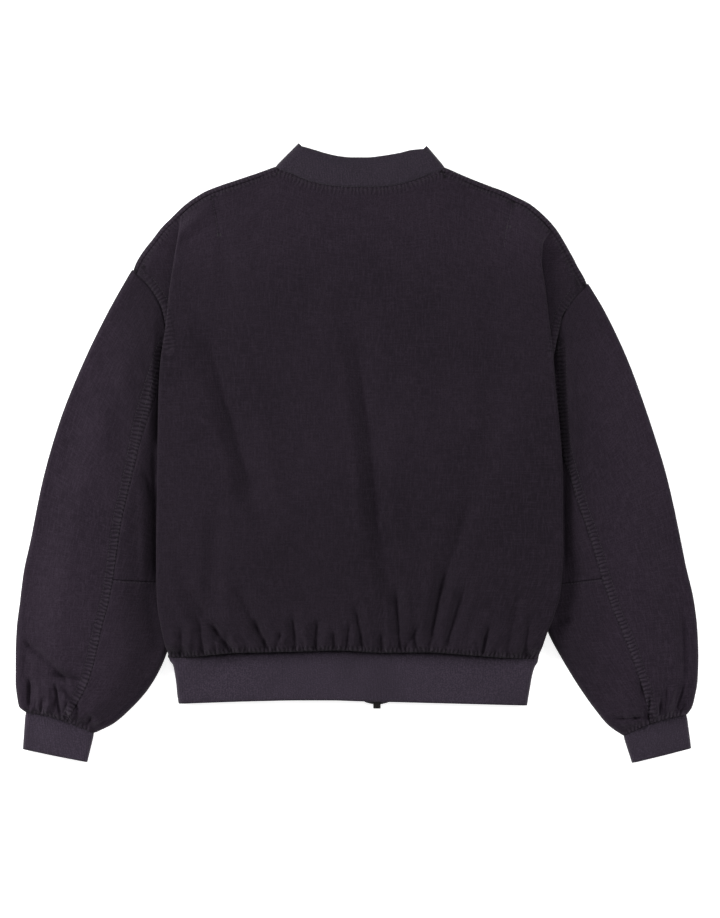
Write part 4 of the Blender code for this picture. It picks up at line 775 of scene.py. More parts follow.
def smallGathers(line, count, seed, inward):  # uneven little folds that start at a gathered seam
    rng = np.random.default_rng(seed)
    travel = pathLength(line)
    shift = rng.uniform(-gathers["jitter"], gathers["jitter"], count)
    at = np.sort((np.arange(count) + shift + 0.5) / count) * travel[-1]
    folds = []
    for spot in at:
        x, y = (float(np.interp(spot, travel, line[:, k])) for k in range(2))
        length = rng.uniform(*gathers["length"]) * rng.uniform(*gathers["lengthSpread"])
        tilt = rng.normal(0, gathers["lean"])
        dx = inward[0] * math.cos(tilt) - inward[1] * math.sin(tilt)
        dy = inward[0] * math.sin(tilt) + inward[1] * math.cos(tilt)
        depth = rng.uniform(*gathers["depth"]) * (gathers["swell"] if rng.random() < gathers["swells"] else 1)
        folds.append((x + dx * length, y + dy * length, x, y, rng.uniform(*gathers["halfWidth"]), depth))
    return folds


backPanel = {
    "columns": 270, "shoulderRows": 26, "armholeRows": 52, "underarmRows": 3, "sideRows": 34, "hemRows": 38,
    "hemSpan": 84, "wall": 0.9, "foldRadius": 3.0, "creaseRadius": 1.2, "seamGap": 0.25, "cornerCalm": 9,
    "foldGrows": 14, "foldTurns": 38, "leastTurn": 40, "foldLift": 0.5, "deepest": 4,
    "hemSettles": 15, "hemLowers": 16, "bulgeEnds": 110.0, "sagReach": 150, "edgeBlend": 45,
    "dartDepth": 0.9, "dartWidth": 1.6, "topRoll": 0.45, "hemRoll": 0.15,
    "creaseAboveHem": 5, "creaseBelowNeck": 20, "gatherAboveHem": 2, "neckSlope": 50, "hemSlope": 8,
    "hemRound": 2.6,
}
foldSteps = {"edge": 8, "straight": 4, "crease": 5, "rest": 5}
tuckPoints = sum(foldSteps.values())


def backEnds(side):  # seam points down the side of the back: out, y, height, and whether below the armhole
    size = backPanel
    seam, _ = shoulderTop(side)
    upper = threadLine(seam[foldStart:], np.linspace(0, 1, size["shoulderRows"]))
    rows = [(out, y, flatTop, False) for out, y in upper]
    width = armholeWidth(side)
    for along in blend(width - edgeRadius, edgeRadius, onward(0, 1, size["armholeRows"])):
        height = float(sleeveTop(sleeveRings[side][0], along, width))
        rows.append((*armholePoint(side, along / width), height, False))
    for turn in onward(0, math.pi / 2, size["underarmRows"]):
        point = armholePoint(side, edgeRadius * (1 - math.sin(turn)) / width)
        rows.append((*point, edgeRadius * (1 + math.cos(turn)), True))
    hem = float(hemLine(signs[side] * sideSeam[side][-1][1]))
    ys = [*onward(rows[-1][1], hem + size["hemSpan"], size["sideRows"]),
          *onward(hem + size["hemSpan"], hem, size["hemRows"])]
    return rows + [(float(column(sideSeam[side], 1, y)), float(y), edgeRadius, True) for y in ys]


def foldPath(edge, top, turn, radius, depth, crease, end):  # over the edge and back under to the seam
    centre = np.array([edge - radius, top - radius])
    points = [centre + radius * np.array([math.sin(angle), math.cos(angle)])
              for angle in onward(0, turn, foldSteps["edge"])]
    heading = np.array([math.cos(turn), -math.sin(turn)])
    first = points[-1]
    start = first + depth * heading
    points += [blend(first, start, share) for share in onward(0, 1, foldSteps["straight"])]
    end = np.array(end, float)
    pivot = start + crease * np.array([math.sin(turn), math.cos(turn)])
    reach = end - pivot
    distance = float(np.hypot(*reach))
    straight = math.sqrt(max(distance**2 - crease**2, 0))
    bearing = math.atan2(reach[1], reach[0]) - math.atan2(straight, crease) + math.pi / 2
    back = (bearing + turn + math.pi) % (2 * math.pi) - math.pi
    if turn > math.radians(100) and back < 0:
        back += 2 * math.pi
    left = foldSteps["crease"] + foldSteps["rest"]
    if distance > crease * 1.02 and 0.02 < back <= turn + 0.6:
        for angle in onward(0, back, foldSteps["crease"]):
            course = angle - turn
            points.append(pivot + crease * np.array([math.sin(course), -math.cos(course)]))
        left, start = foldSteps["rest"], points[-1]
    return np.array(points + [blend(start, end, share) for share in onward(0, 1, left)])


def foldRows(side):  # down each side: where the flat part ends, its y and height, and the fold's path
    size = backPanel
    ends = backEnds(side)
    (out, startY, _, _), hemY = ends[0], ends[-1][1]
    rows = [(out, startY, flatTop, np.array([(out, flatTop)] * tuckPoints))]
    for out, y, z, below in ends[1:]:
        gone, aboveHem = startY - y, y - hemY
        grow = float(ease(gone / size["foldGrows"]))
        edge, top = (float(column(foldEdge[side], k, y)) for k in (1, 2))
        turn = math.radians(blend(float(size["leastTurn"]), 180, float(ease(gone / size["foldTurns"]))))
        radius, crease = size["foldRadius"] * grow, size["creaseRadius"] * grow
        depth = float(column(foldDepth, 1, y))
        if below:
            settled = float(ease(1 - aboveHem / size["hemSettles"]))
            radius = blend(size["foldRadius"], edgeRadius, settled)
            turn = math.radians(blend(180, 90, settled))
            top = blend(top, flatTop, float(ease(1 - aboveHem / size["hemLowers"])))
            edge = max(edge, out) if aboveHem < 1 else edge
            depth = max(edge - radius - out - crease, 0) if turn > 3 else 0
        else:
            lift = (radius + crease) * (1 - math.cos(turn)) + depth * math.sin(turn)
            top = z + size["foldLift"] * grow + lift
        depth = min(depth, size["deepest"] / max(math.sin(turn), 1e-6))
        rows.append((edge - radius, y, top, foldPath(edge, top, turn, radius, depth, crease, (out, z))))
    return rows


def backRise(share, x, y, belowTop, aboveHem):
    size = backPanel
    side = np.where(share < 0.5, column(backHeight, 1, y), column(backHeight, 3, y))
    rise = blend(side, column(backHeight, 2, y), ease(1 - np.abs(share - 0.5) * 2))
    fade = ease(aboveHem / size["creaseAboveHem"]) * ease(belowTop / size["creaseBelowNeck"])
    rise = rise - foldPull(bodyFolds, x, y) * fade
    rise = rise - foldPull(hemGathers, x, y) * ease(aboveHem / size["gatherAboveHem"])
    rise = blend(flatTop + neckHump(x), rise, ease(belowTop / size["neckSlope"]))
    near = np.clip(1 - aboveHem / size["hemSlope"], 0, 1)
    return blend(flatTop, rise, np.sqrt(1 - near ** size["hemRound"]))


def makeBack():
    size = backPanel
    left, right = foldRows("left"), foldRows("right")
    tops = {side: [(sign * out, y) for out, y in shoulderTop(side)[0][: foldStart + 1]] for side,
            sign in signs.items()}
    seam = np.array(tops["left"][::-1] + neckBack + tops["right"], float)
    shares = np.linspace(0, 1, size["columns"])
    coarse = (seam[:, 0] - seam[0, 0]) / (seam[-1, 0] - seam[0, 0])
    straight = blend(seam[0, 1], seam[-1, 1], shares)
    bulge = curveAt(coarse, seam[:, 1], shares) - straight
    rows = []
    for (x0, y0, top0, tuck0), (x1, y1, top1, tuck1) in zip(left, right):
        x0, tuck0 = -x0, (tuck0 * (-1, 1))[::-1]
        x, y = blend(x0, x1, shares), blend(y0, y1, shares)
        y = y + bulge * np.clip((y - size["bulgeEnds"]) / (straight - size["bulgeEnds"]), 0, 1)
        above = blend(y0 - left[-1][1], y1 - right[-1][1], 0.5)
        sag = hemLine(x) - blend(hemLine(x[0]), hemLine(x[-1]), shares)
        y = y + sag * float(ease(1 - above / size["sagReach"]))
        z = backRise(shares, x, y, curveAt(seam[:, 0], seam[:, 1], x) - y, y - hemLine(x))
        z = z + (top0 - z[0]) * ease(1 - (x - x[0]) / size["edgeBlend"])
        z = z + (top1 - z[-1]) * ease(1 - (x[-1] - x) / size["edgeBlend"])
        tucks = [np.insert(tuck, 1, level, axis=1) for tuck, level in ((tuck0, y0), (tuck1, y1))]
        rows.append(np.concatenate([tucks[0], np.column_stack([x, y, z]), tucks[1]]))
    grid = np.array(rows)
    grid[0, :, 1] -= size["seamGap"]
    grid[-1, :, 1] += size["seamGap"]
    for _ in range(2):
        for part in (slice(1, tuckPoints), slice(-tuckPoints, -1)):
            grid[2:-2, part] = (grid[1:-3, part] + 2 * grid[2:-2, part] + grid[3:-1, part]) / 4
    for line in darts.values():
        far, _ = lineDistance(grid[..., 0], grid[..., 1], line)
        deep = size["dartDepth"] * np.exp(-((far / size["dartWidth"]) ** 2))
        grid[..., 2] -= deep * (grid[..., 2] > flatTop)
    rollEdges(grid, ("top",), size["topRoll"])
    rollEdges(grid, ("bottom",), size["hemRoll"])
    grid = tuckUnder(grid, ("top", "bottom"))
    bands = [(seams["neck"], 10, 0.3, 0.34), (seams["hem"], 8, 0.6,
                                              -1)]  # line, width, pull, place of the stitches
    bands += [(seams["shoulder", side], 6, 0.28, 0.44) for side in signs]
    bands += [(seams["armhole", side], 10, 0.3, 0.94) for side in signs]
    bands += [(line, 4, 0.12, 0.0) for line in darts.values()]
    fields = seamFields(grid, bands)
    for side in signs:  # the puckers fade where two seams meet
        near = np.linalg.norm(grid[..., :2] - seams["armhole", side][0], axis=-1)
        calm(fields, ease((near - size["cornerCalm"]) / size["cornerCalm"]))
    return makeShell("backPanel", [grid], size["wall"], cotton, fields)


# Sleeves

sleevePanel = {
    "rows": 190, "leastRows": 60, "topColumns": 92, "edgeColumns": 16, "underColumns": 22,
    "innerTopColumns": 55,
    "wall": 0.9, "seamGap": 0.15, "tuckSlope": 45.0, "edgeSlope": 50.0, "edgeShare": 0.45, "creaseEdge": 12,
    "seamStarts": 1.62, "seamUnder": 4.67, "cuffBow": 4.0, "topGap": 0.3, "cuffGap": 0.25, "endRoll": 0.3,
    "sideRoll": 0.5,
}
cuffGathers = {}
sleeveParts = {
    "main": {"first": 0, "last": lastRing, "outer": True},
    "under_upper": {"first": 0, "last": crossRing, "outer": False},
    "under_lower": {"first": crossRing, "last": lastRing, "outer": False},
}


def sleeveTop(ring, along, width):
    size = sleevePanel
    radius, top, tuck = ring[4:7]
    rise = ease((along - tuck) / size["tuckSlope"])
    fall = ease((width - radius - along) / min(size["edgeSlope"], width * size["edgeShare"]))
    return 2 * radius + (top - 2 * radius) * rise * fall


def ringAt(side, station):
    table = np.array(sleeveRings[side], float)
    return [float(curveAt(range(len(table)), table[:, k], station)) for k in range(8)]


# Points round a sleeve: -1 to 1 is the inner edge, 1 to 2 the top, 2 to 4 the outer edge, 4 to 5 underneath.
def ringPoints(side, ring, places, bend=0.0, slack=1.0):
    places = np.asarray(places, float)
    places = np.where(places < -1, places + 6, places)
    outerOut, outerY, innerOut, innerY, radius, _, _, bow = ring
    width = math.hypot(outerOut - innerOut, outerY - innerY)
    angle = np.where(places <= 1, places, 3 - places) * math.pi / 2
    round_ = radius * (1 - np.cos(angle))
    top, under = (places > 1) & (places < 2), places > 4
    along = np.where(places <= 1, round_, width - round_)
    along = np.where(top, blend(radius, width - radius, places - 1), along)
    along = np.where(under, blend(width - radius, radius, places - 4), along)
    height = radius * (1 + np.sin(angle))
    height = np.where(top, sleeveTop(ring, along, width), np.where(under, 0.0, height))
    share = along / width
    out = blend(innerOut, outerOut, share) - armholeBow[side] * bow * column(bowShape, 1, 1 - share)
    y = blend(innerY, outerY, share) + bend * np.sin(math.pi * share)
    x = signs[side] * out
    nearEdge = ease(np.minimum(places - 1, 2 - places) * width / sleevePanel["creaseEdge"])
    pull = foldPull(sleeveFolds[side], x, y) + gathers["cuffShare"] * foldPull(cuffGathers.get(side, ()), x,
                                                                               y)
    return np.column_stack([x, y, height - np.where(top, slack * pull * nearEdge, 0)])


def seamPlace(side, ring, station):  # where the long seam crosses a ring
    if station == 0:
        return sleevePanel["seamStarts"]
    inner = np.array([ring[2], ring[3]])
    across = np.array([ring[0], ring[1]]) - inner
    seam = np.array(backSeam[side], float)
    for one, two in zip(seam, seam[1:]):
        share, along = np.linalg.solve(np.column_stack([across, one - two]), one - inner)
        if -0.02 <= along <= 1.02 and 0 < share < 1:
            break
    width = float(np.hypot(*across))
    return 1 + (share * width - ring[4]) / (width - 2 * ring[4])


def sleeveGrid(side, part):
    size = sleevePanel
    span = part["last"] - part["first"]
    count = max(int(size["rows"] * (span / lastRing) ** 0.8), size["leastRows"])
    seamPlaces = [seamPlace(side, ringAt(side, s), s) for s in range(lastRing + 1)]
    rows = []
    for station in part["first"] + span * np.linspace(0, 1, count):
        ring = ringAt(side, station)
        seam = float(curveAt(range(lastRing + 1), seamPlaces, station))
        width = math.hypot(ring[0] - ring[2], ring[1] - ring[3])
        gap = size["seamGap"] / (width - 2 * ring[4])
        bend = size["cuffBow"] * float(ease((station - lastRing + 2) / 2))
        slack = float(ease(part["last"] - station)) if part["last"] > crossRing else 1.0
        if part["outer"]:
            zones = [np.linspace(seam + gap, 2, size["topColumns"]), onward(2, 4, size["edgeColumns"] - 1),
                     onward(4, size["seamUnder"] - gap, size["underColumns"] - 1)]
        else:
            zones = [np.linspace(size["seamUnder"] + gap - 6, -1, size["underColumns"]),
                     onward(-1, 1, size["edgeColumns"] - 1),
                     onward(1, seam - gap, size["innerTopColumns"] - 1)]
        rows.append(ringPoints(side, ring, np.concatenate(zones), bend, slack))
    return np.array(rows)


def drawBack(grid, which, gap):  # opens a small gap at an end row
    inner = grid[1] if which == 0 else grid[-2]
    step = inner - grid[which]
    length = np.linalg.norm(step, axis=1)[:, None]
    grid[which] += gap * step / np.maximum(length, 1e-6)


def makeSleeve(side):
    size = sleevePanel
    made = []
    for name, part in sleeveParts.items():
        grid = sleeveGrid(side, part)
        drawBack(grid, 0, size["topGap"])
        drawBack(grid, -1, size["cuffGap"])
        edges = ("top", "bottom", "first", "last") if part["outer"] else ("top", "bottom")
        rollEdges(grid, ("top", "bottom"), size["endRoll"])
        rollEdges(grid, ("first", "last"), size["sideRoll"])
        grid = tuckUnder(grid, edges[1:] if name == "under_lower" else edges)
        bands = [(seams["cuff", side], 8, 0.45, -1), (seams["cross", side], 3.5, 0.15, -1)]
        if part["outer"]:
            bands = [(seams["sleeve", side], 10, 0.45, 0.94), bands[0]]
        fields = seamFields(grid, bands)
        if part["outer"]:  # the long seam is on the upper side only
            calm(fields, (grid[..., 2] > edgeRadius - 1) | (fields["seamRow"][0] < 0))
        made.append(makeShell(f"sleeve_{side}_{name}_cloth", [grid], size["wall"], cotton, fields))
    return made


# Fronts, on the table side

frontPanel = {
    "columns": 70, "neckColumns": 26, "turnRows": 12, "sideRows": 50, "underarmRows": 3, "edgeColumns": 6,
    "wall": 0.9, "rimGap": 0.3, "zipGap": 5.0, "hemGap": 0.25, "turned": 0.97, "neckStart": 247.0,
    "liftEnds": 20, "hemFrom": 80, "hemSpan": 30,
}


def neckLine(side, start, shift):
    seam, _ = shoulderTop(side)
    y = frontPanel["neckStart"]
    line = np.array([(signs[side] * zipLine(y) + start, y)] + neckFront[side][::-1] + [tuple(seam[0])], float)
    run = np.gradient(line, axis=0)
    away = np.column_stack([run[:, 1], -run[:, 0]])
    away[0], away[-1] = (0, -1), (1, -0.3)
    return line + shift * unit(away)


def roundEdge(side, points, inward, turn):  # points of the underside, carried round the edge by an angle
    x, y = (points - inward * edgeRadius * math.sin(turn)).T
    return np.column_stack([signs[side] * x, y, np.full(len(x), edgeRadius * (1 - math.cos(turn)))])


def frontEnds(side):  # seam points down the side of a front: out, y and height
    size = frontPanel
    width = armholeWidth(side)
    ends = []
    for station in onward(0, 1, size["sideRows"]):
        ends.append((*armholePoint(side, blend(width - edgeRadius, edgeRadius, station) / width), 0.0))
    for turn in onward(0, math.pi / 2, size["underarmRows"]):
        point = armholePoint(side, edgeRadius * (1 - math.sin(turn)) / width)
        ends.append((*point, edgeRadius * (1 - math.cos(turn))))
    hem = float(hemLine(signs[side] * sideSeam[side][-1][1]))
    ys = onward(ends[-1][1], hem, size["sideRows"])
    return ends + [(float(column(sideSeam[side], 1, y)), float(y), edgeRadius) for y in ys], hem


def makeFront(side):
    size, sign = frontPanel, signs[side]
    seam, inwards = shoulderTop(side)
    shoulderPlaces = np.linspace(0, 1, size["columns"] - size["neckColumns"])
    shoulder = threadLine(seam, shoulderPlaces)
    neck = np.concatenate([neckLine(side, size["zipGap"], size["rimGap"])[:-1], shoulder[:1]])
    topLine = np.concatenate([threadLine(neck, np.linspace(0, 1, size["neckColumns"] + 1))[:-1], shoulder])
    travel = pathLength(seam)
    inward = unit(np.column_stack([curveAt(travel, way, shoulderPlaces * travel[-1]) for way in inwards.T]))
    turns = np.linspace(math.pi * size["turned"], 0, size["turnRows"])
    wrap = np.array([roundEdge(side, shoulder, inward, turn) for turn in turns])
    shares = (topLine[:, 0] - topLine[0, 0]) / (topLine[-1, 0] - topLine[0, 0])
    lift, endY = topLine[:, 1] - topLine[-1, 1], topLine[-1, 1]
    x, y = sign * topLine[:, 0], topLine[:, 1]
    body, edge = [np.column_stack([x, y, zipBump(x, y)])], []
    turns = np.linspace(0, math.pi / 2 * size["turned"], size["edgeColumns"])
    ends, hem = frontEnds(side)
    for k, (out, y, low) in enumerate(ends):
        ys = y + lift * np.clip((y - size["liftEnds"]) / (endY - size["liftEnds"]), 0, 1)
        start = sign * zipLine(ys[0]) + size["zipGap"]
        rim = out - low - (size["rimGap"] if k < size["sideRows"] + size["underarmRows"] else 0)
        x = sign * blend(start, rim, shares)
        if y < hem + size["hemFrom"]:
            ys = blend(ys, hemLine(x) + (y - hem), ease((hem + size["hemFrom"] - y) / size["hemSpan"]))
        body.append(np.column_stack([x, ys, zipBump(x, ys)]))
        edge.append(np.column_stack([sign * (rim + low * np.sin(turns)), np.full(len(turns), ys[-1]),
                                     low * (1 - np.cos(turns)) + body[-1][-1, 2]]))
    body, edge = np.array(body), np.array(edge)
    for grid in (body, edge):
        grid[-1, :, 1] += size["hemGap"]
    bands = [(seams["hem"], 8, 0.4, -1), (seams["armhole", side], 10, 0.3, 0.94),
             (seams["shoulder", side], 6, 0.3, -1)]
    parts = [seamFields(grid, bands) for grid in (wrap, body, edge)]
    fields = {key: [part[key][0] for part in parts] for key in parts[0]}
    return makeShell(f"front_{side}_cloth", [wrap, body, edge], size["wall"], cotton, fields, flatUv=True)


# Ribs: collar, hem and cuffs

ribBand = {
    "wall": 2.0, "roll": 1.2, "reach": 3.0, "drop": 1.5, "topGap": 0.1,
    "collarColumns": 90, "collarRows": 12, "floorColumns": 24, "turnColumns": 12, "collarTop": 13.5,
    "collarZipGap": 1.5, "collarOverlap": -0.2, "cornerWay": (-0.69, -0.72),
    "hemRows": 14, "hemFront": 60, "hemBack": 140, "hemDepth": 54, "hemZipGap": 5, "hemRise": 0.8,
    "hemRoll": 0.2,
    "hemDrop": 1.2, "seamGap": 0.3, "frontLower": 1.0, "zipNotch": 5.5, "notchWidth": 13, "lowerSpan": 70,
    "cuffRows": 12, "cuffEdge": 14, "cuffTop": 40, "cuffUnder": 30, "cuffDrop": 1.6,
}


# one painted shade and light colour factor for a whole rib piece
def evenPaintedShade(grid, name):
    return {"paintedShade": [np.full(grid.shape[:2], paintedShading[name])]}


def makeCollar():
    size = ribBand
    halves = {}
    for side, sign in signs.items():
        seam, inwards = shoulderTop(side)
        way = unit(np.array([size["cornerWay"]]))
        corner = np.array([collarCorner[side]]) + way * edgeRadius
        zipX = sign * float(zipLine(frontPanel["neckStart"])) + size["collarZipGap"]
        low = np.concatenate([neckLine(side, size["collarZipGap"], size["collarOverlap"])[:-1], seam[:1]])
        high = [(zipX, collarFront[side][-1][1] - 1)] + collarFront[side][::-1] + [tuple(corner[0])]
        for name, line, start, inward in (("low", low, seam[:1], inwards[:1]), ("high", high, corner, way)):
            flat = threadLine(line, np.linspace(0, 1, size["floorColumns"] + 1)[:-1]) * (sign, 1)
            turned = [roundEdge(side, start, inward, turn) for turn in np.linspace(0, math.pi,
                                                                                   size["turnColumns"])]
            halves[side, name] = np.concatenate([np.insert(flat, 2, 0, axis=1)] + turned)
    edges = []
    for name, line in (("low", neckBack), ("high", collarBack)):
        left, right = halves["left", name], halves["right", name]
        back = threadLine([left[-1, :2], *line, right[-1, :2]],
                          np.linspace(0, 1, size["collarColumns"])[1:-1])
        level = flatTop + neckHump(back[:, 0]) if name == "low" else np.full(len(back), size["collarTop"])
        edges.append(np.concatenate([left, np.column_stack([back, level]), right[::-1]]))
    rows = []
    for share in np.linspace(0, 1, size["collarRows"]):
        points = blend(*edges, share)
        points[:, 2] += size["roll"] * math.sin(math.pi * share) * (points[:, 2] > edgeRadius * 1.5)
        points[:, 2] += zipBump(points[:, 0], points[:, 1]) * (points[:, 2] < 0.1)
        rows.append(points)
    grid = np.array(rows)
    drawBack(grid, 0, size["topGap"])
    grid = tuckUnder(rollEdges(grid, ("top",)), ("top",), size["reach"], size["drop"])
    return makeShell("collar_knit", [grid], size["wall"], knit, evenPaintedShade(grid, "collar"))


def makeHemRib():
    size = ribBand
    front, middle, turnCount = size["hemFront"], size["hemBack"], size["turnColumns"]
    turns = np.linspace(-math.pi / 2, math.pi / 2, turnCount)
    rise = flatTop + size["hemRise"] * np.sin(math.pi * np.linspace(0, 1, middle))
    z = np.concatenate([np.zeros(front), edgeRadius * (1 + np.sin(turns[1:])), rise[1:],
                        edgeRadius * (1 + np.sin(turns[::-1][1:])), np.zeros(front - 1)])
    inFront = np.ones(len(z))
    inFront[front:1 - front] = 0
    rows = []
    for share in np.linspace(0, 1, size["hemRows"]):
        below = size["hemDepth"] * share
        reach = {side: float(column(hemSide[side], 1, below)) - edgeRadius for side in signs}
        zipX = float(zipLine(-228.0 - below))
        arcs = {side: signs[side] * (reach[side] + edgeRadius * np.cos(turns)) for side in signs}
        x = np.concatenate([np.linspace(zipX - size["hemZipGap"], -reach["left"], front), arcs["left"][1:],
                            np.linspace(-reach["left"], reach["right"], middle)[1:], arcs["right"][::-1][1:],
                            np.linspace(reach["right"], zipX + size["hemZipGap"], front)[1:]])
        edge = column(hemEdge, 1, x)
        notch = size["zipNotch"] * np.exp(-(((x - zipLine(edge)) / size["notchWidth"]) ** 2))
        edge = edge + inFront * (size["frontLower"] - notch) * ease(3 - np.abs(x) / size["lowerSpan"])
        rows.append(np.column_stack([x, blend(hemLine(x) - size["seamGap"], edge, share), z]))
    grid = tuckUnder(rollEdges(np.array(rows), ("top",), size["hemRoll"]), ("top",), size["reach"],
                     size["hemDrop"])
    return makeShell("hem_knit", [grid], size["wall"], knit, evenPaintedShade(grid, "hem"))


def makeCuff(side):
    size = ribBand
    start, end = np.array(sleeveRings[side][-1], float), np.array(cuffEnds[side], float)
    places = np.concatenate([np.linspace(-1, 1, size["cuffEdge"]), onward(1, 2, size["cuffTop"] - 1),
                             onward(2, 4, size["cuffEdge"] - 1), onward(4, 5, size["cuffUnder"] - 1)])
    grid = np.array([ringPoints(side, blend(start, end, t), places, sleevePanel["cuffBow"] * (1 - t), 0.0)
                     for t in np.linspace(0, 1, size["cuffRows"])])
    drawBack(grid, 0, size["topGap"])
    grid = tuckUnder(rollEdges(grid, ("top",)), ("top",), size["reach"], size["cuffDrop"])
    return makeShell(f"cuff_{side}_knit", [grid], size["wall"], knit, evenPaintedShade(grid, side))


# Zip on the table side

zipParts = {
    "tapeWidth": 14.0, "tapeEdge": 1.5, "lift": 1.7, "wall": 0.9, "toothPitch": 3.0, "toothLength": 3.2,
    "toothWidth": 1.7, "toothHeight": 1.6, "top": 236.0, "bottom": -283.0,
    "tapeEnd": -288.2, "tapeCurve": 2.6, "tapeTop": 246, "hemStep": 10, "hemSlope": 7,
    "toothOut": 1.1, "toothUp": 0.4,
}


def tapeLevel(x, y):  # the tape lies on the fronts and then on the thicker hem rib
    onHem = ease((hemLine(x) + zipParts["hemStep"] - y) / zipParts["hemSlope"])
    return zipParts["lift"] + onHem + zipBump(x, y)


def makeTape(side):
    rows = []
    across = np.linspace(zipParts["tapeEdge"], zipParts["tapeWidth"], 9)
    ends = zipParts["tapeEnd"] + zipParts["tapeCurve"] * (across / across[-1]) ** 2
    for share in np.linspace(0, 1, 260):
        y = blend(zipParts["tapeTop"], ends, share)
        x = zipLine(y) + signs[side] * across
        rows.append(np.column_stack([x, y, tapeLevel(x, y)]))
    return makeShell(f"tape_{side}_cloth", [np.array(rows)], zipParts["wall"], zipTape)


scatterLook = {"Length": 2.4 * mm, "Width": 0.6 * mm, "Height": 1.6 * mm, "Uneven": 0.15, "Seed": 0}
toothNub = {"size": 0.6, "shift": 1.1}


def scatterTree(name, drawShape, uneven):  # one shape on every point, turned by the point's own directions
    tree = bpy.data.node_groups.new(name, "GeometryNodeTree")
    tree.interface.new_socket("Geometry", in_out="OUTPUT", socket_type="NodeSocketGeometry")
    tree.interface.new_socket("Geometry", in_out="INPUT", socket_type="NodeSocketGeometry")
    for label, value in scatterLook.items():
        kind = "NodeSocketInt" if label == "Seed" else "NodeSocketFloat"
        tree.interface.new_socket(label, in_out="INPUT", socket_type=kind).default_value = value
    tree.interface.new_socket("Material", in_out="INPUT", socket_type="NodeSocketMaterial")
    given = tree.nodes.new("NodeGroupInput").outputs
    rotation = {}
    for axis, pivot, direction in (("X", "AUTO", "along"), ("Z", "X", "up")):
        vector = addNode(tree, "GeometryNodeInputNamedAttribute", {"Name": direction},
                         data_type="FLOAT_VECTOR")
        turned = addNode(tree, "FunctionNodeAlignRotationToVector",
                         {"Vector": vector["Attribute"], **rotation},
                         axis=axis, pivot_axis=pivot)
        rotation = {"Rotation": turned["Rotation"]}
    placed = {"Points": given["Geometry"], "Instance": drawShape(tree, given), **rotation}
    if uneven:
        low, high = (addNode(tree, "ShaderNodeMath", {0: 1.0, 1: given["Uneven"]}, operation=way)[0]
                     for way in ("SUBTRACT", "ADD"))
        placed["Scale"] = addNode(tree, "FunctionNodeRandomValue",
                                  {2: low, 3: high, "Seed": given["Seed"]})[1]
    scattered = addNode(tree, "GeometryNodeInstanceOnPoints", placed)[0]
    solid = addNode(tree, "GeometryNodeRealizeInstances", {"Geometry": scattered})[0]
    painted = addNode(tree, "GeometryNodeSetMaterial", {"Geometry": solid, "Material": given["Material"]})[0]
    addNode(tree, "NodeGroupOutput", {"Geometry": painted})
    return tree


def drawStitch(tree, given):
    bead = addNode(tree, "GeometryNodeMeshUVSphere", {"Segments": 6, "Rings": 4, "Radius": 0.5})["Mesh"]
    sides = {"X": given["Length"], "Y": given["Width"], "Z": given["Width"]}
    size = addNode(tree, "ShaderNodeCombineXYZ", sides)[0]
    return addNode(tree, "GeometryNodeTransform", {"Geometry": bead, "Scale": size})[0]


def drawTooth(tree, given):
    sides = {"X": given["Length"], "Y": given["Width"], "Z": given["Height"]}
    size = addNode(tree, "ShaderNodeCombineXYZ", sides)[0]
    ball = {"Segments": 8, "Rings": 4, "Radius": toothNub["size"] * mm}
    nub = addNode(tree, "GeometryNodeMeshUVSphere", ball)["Mesh"]
    shift = (toothNub["shift"] * mm, 0, 0)
    nub = addNode(tree, "GeometryNodeTransform", {"Geometry": nub, "Translation": shift})[0]
    block = addNode(tree, "GeometryNodeMeshCube", {"Size": size})["Mesh"]
    both = addNode(tree, "GeometryNodeJoinGeometry", {0: block})
    tree.links.new(nub, both[0].node.inputs[0])
    return both[0]


def scatterAlong(name, tree, points, along, up, settings):  # points with directions, through one tree
    mesh = bpy.data.meshes.new(name)
    mesh.from_pydata((np.asarray(points) * mm).tolist(), [], [])
    for key, vectors in (("along", along), ("up", up)):
        layer = mesh.attributes.new(key, "FLOAT_VECTOR", "POINT")
        layer.data.foreach_set("vector", np.asarray(vectors, float).ravel())
    piece = place(name, mesh)
    modifier = piece.modifiers.new(name, "NODES")
    modifier.node_group = tree
    for item in tree.interface.items_tree:
        if item.in_out == "INPUT" and item.name in settings:
            modifier[item.identifier] = settings[item.name]
    settle(piece)
    piece.data.shade_smooth()
    for key in ("along", "up"):
        if key in piece.data.attributes:
            piece.data.attributes.remove(piece.data.attributes[key])
    return piece


def makeTeeth():
    size = zipParts
    points, along, up = [], [], []
    count = int((size["top"] - size["bottom"] - 2) / size["toothPitch"])
    for side, sign in signs.items():
        for k in range(count):
            y = size["top"] - (k + (0.5 if side == "left" else 0)) * size["toothPitch"]
            x = float(zipLine(y)) + sign * size["toothOut"]
            points.append((x, y, float(tapeLevel(x, y)) + size["toothUp"]))
            along.append((-sign, 0, 0))
            up.append((0, 0, 1))
    sizes = {"Length": size["toothLength"] * mm, "Width": size["toothWidth"] * mm,
             "Height": size["toothHeight"] * mm, "Material": zipMetal}
    return scatterAlong("zipTeeth", scatterTree("zipTeeth", drawTooth, False), points, along, up, sizes)


# Stitches

stitching = {
    "pitch": 3.3, "length": 2.5, "width": 0.7, "sunk": 0.08, "seed": 5, "uneven": 0.15, "steepest": 0.3,
    "neckIn": -3.4, "shoulderIn": -2.6, "shoulderFrom": 14.5, "rows": (1.9, 9.4), "armholeFrom": 15.0,
    "crossIn": -2.0, "dartIn": 1.6, "rightTack": (173.3, 258.3), "tackHalf": 3.4, "tackStep": 0.7,
    "zipOut": 12.0, "zipTop": 243, "zipFoot": -224,
}


def surfaceOf(*pieces):
    return [BVHTree.FromObject(piece, bpy.context.evaluated_depsgraph_get()) for piece in pieces]


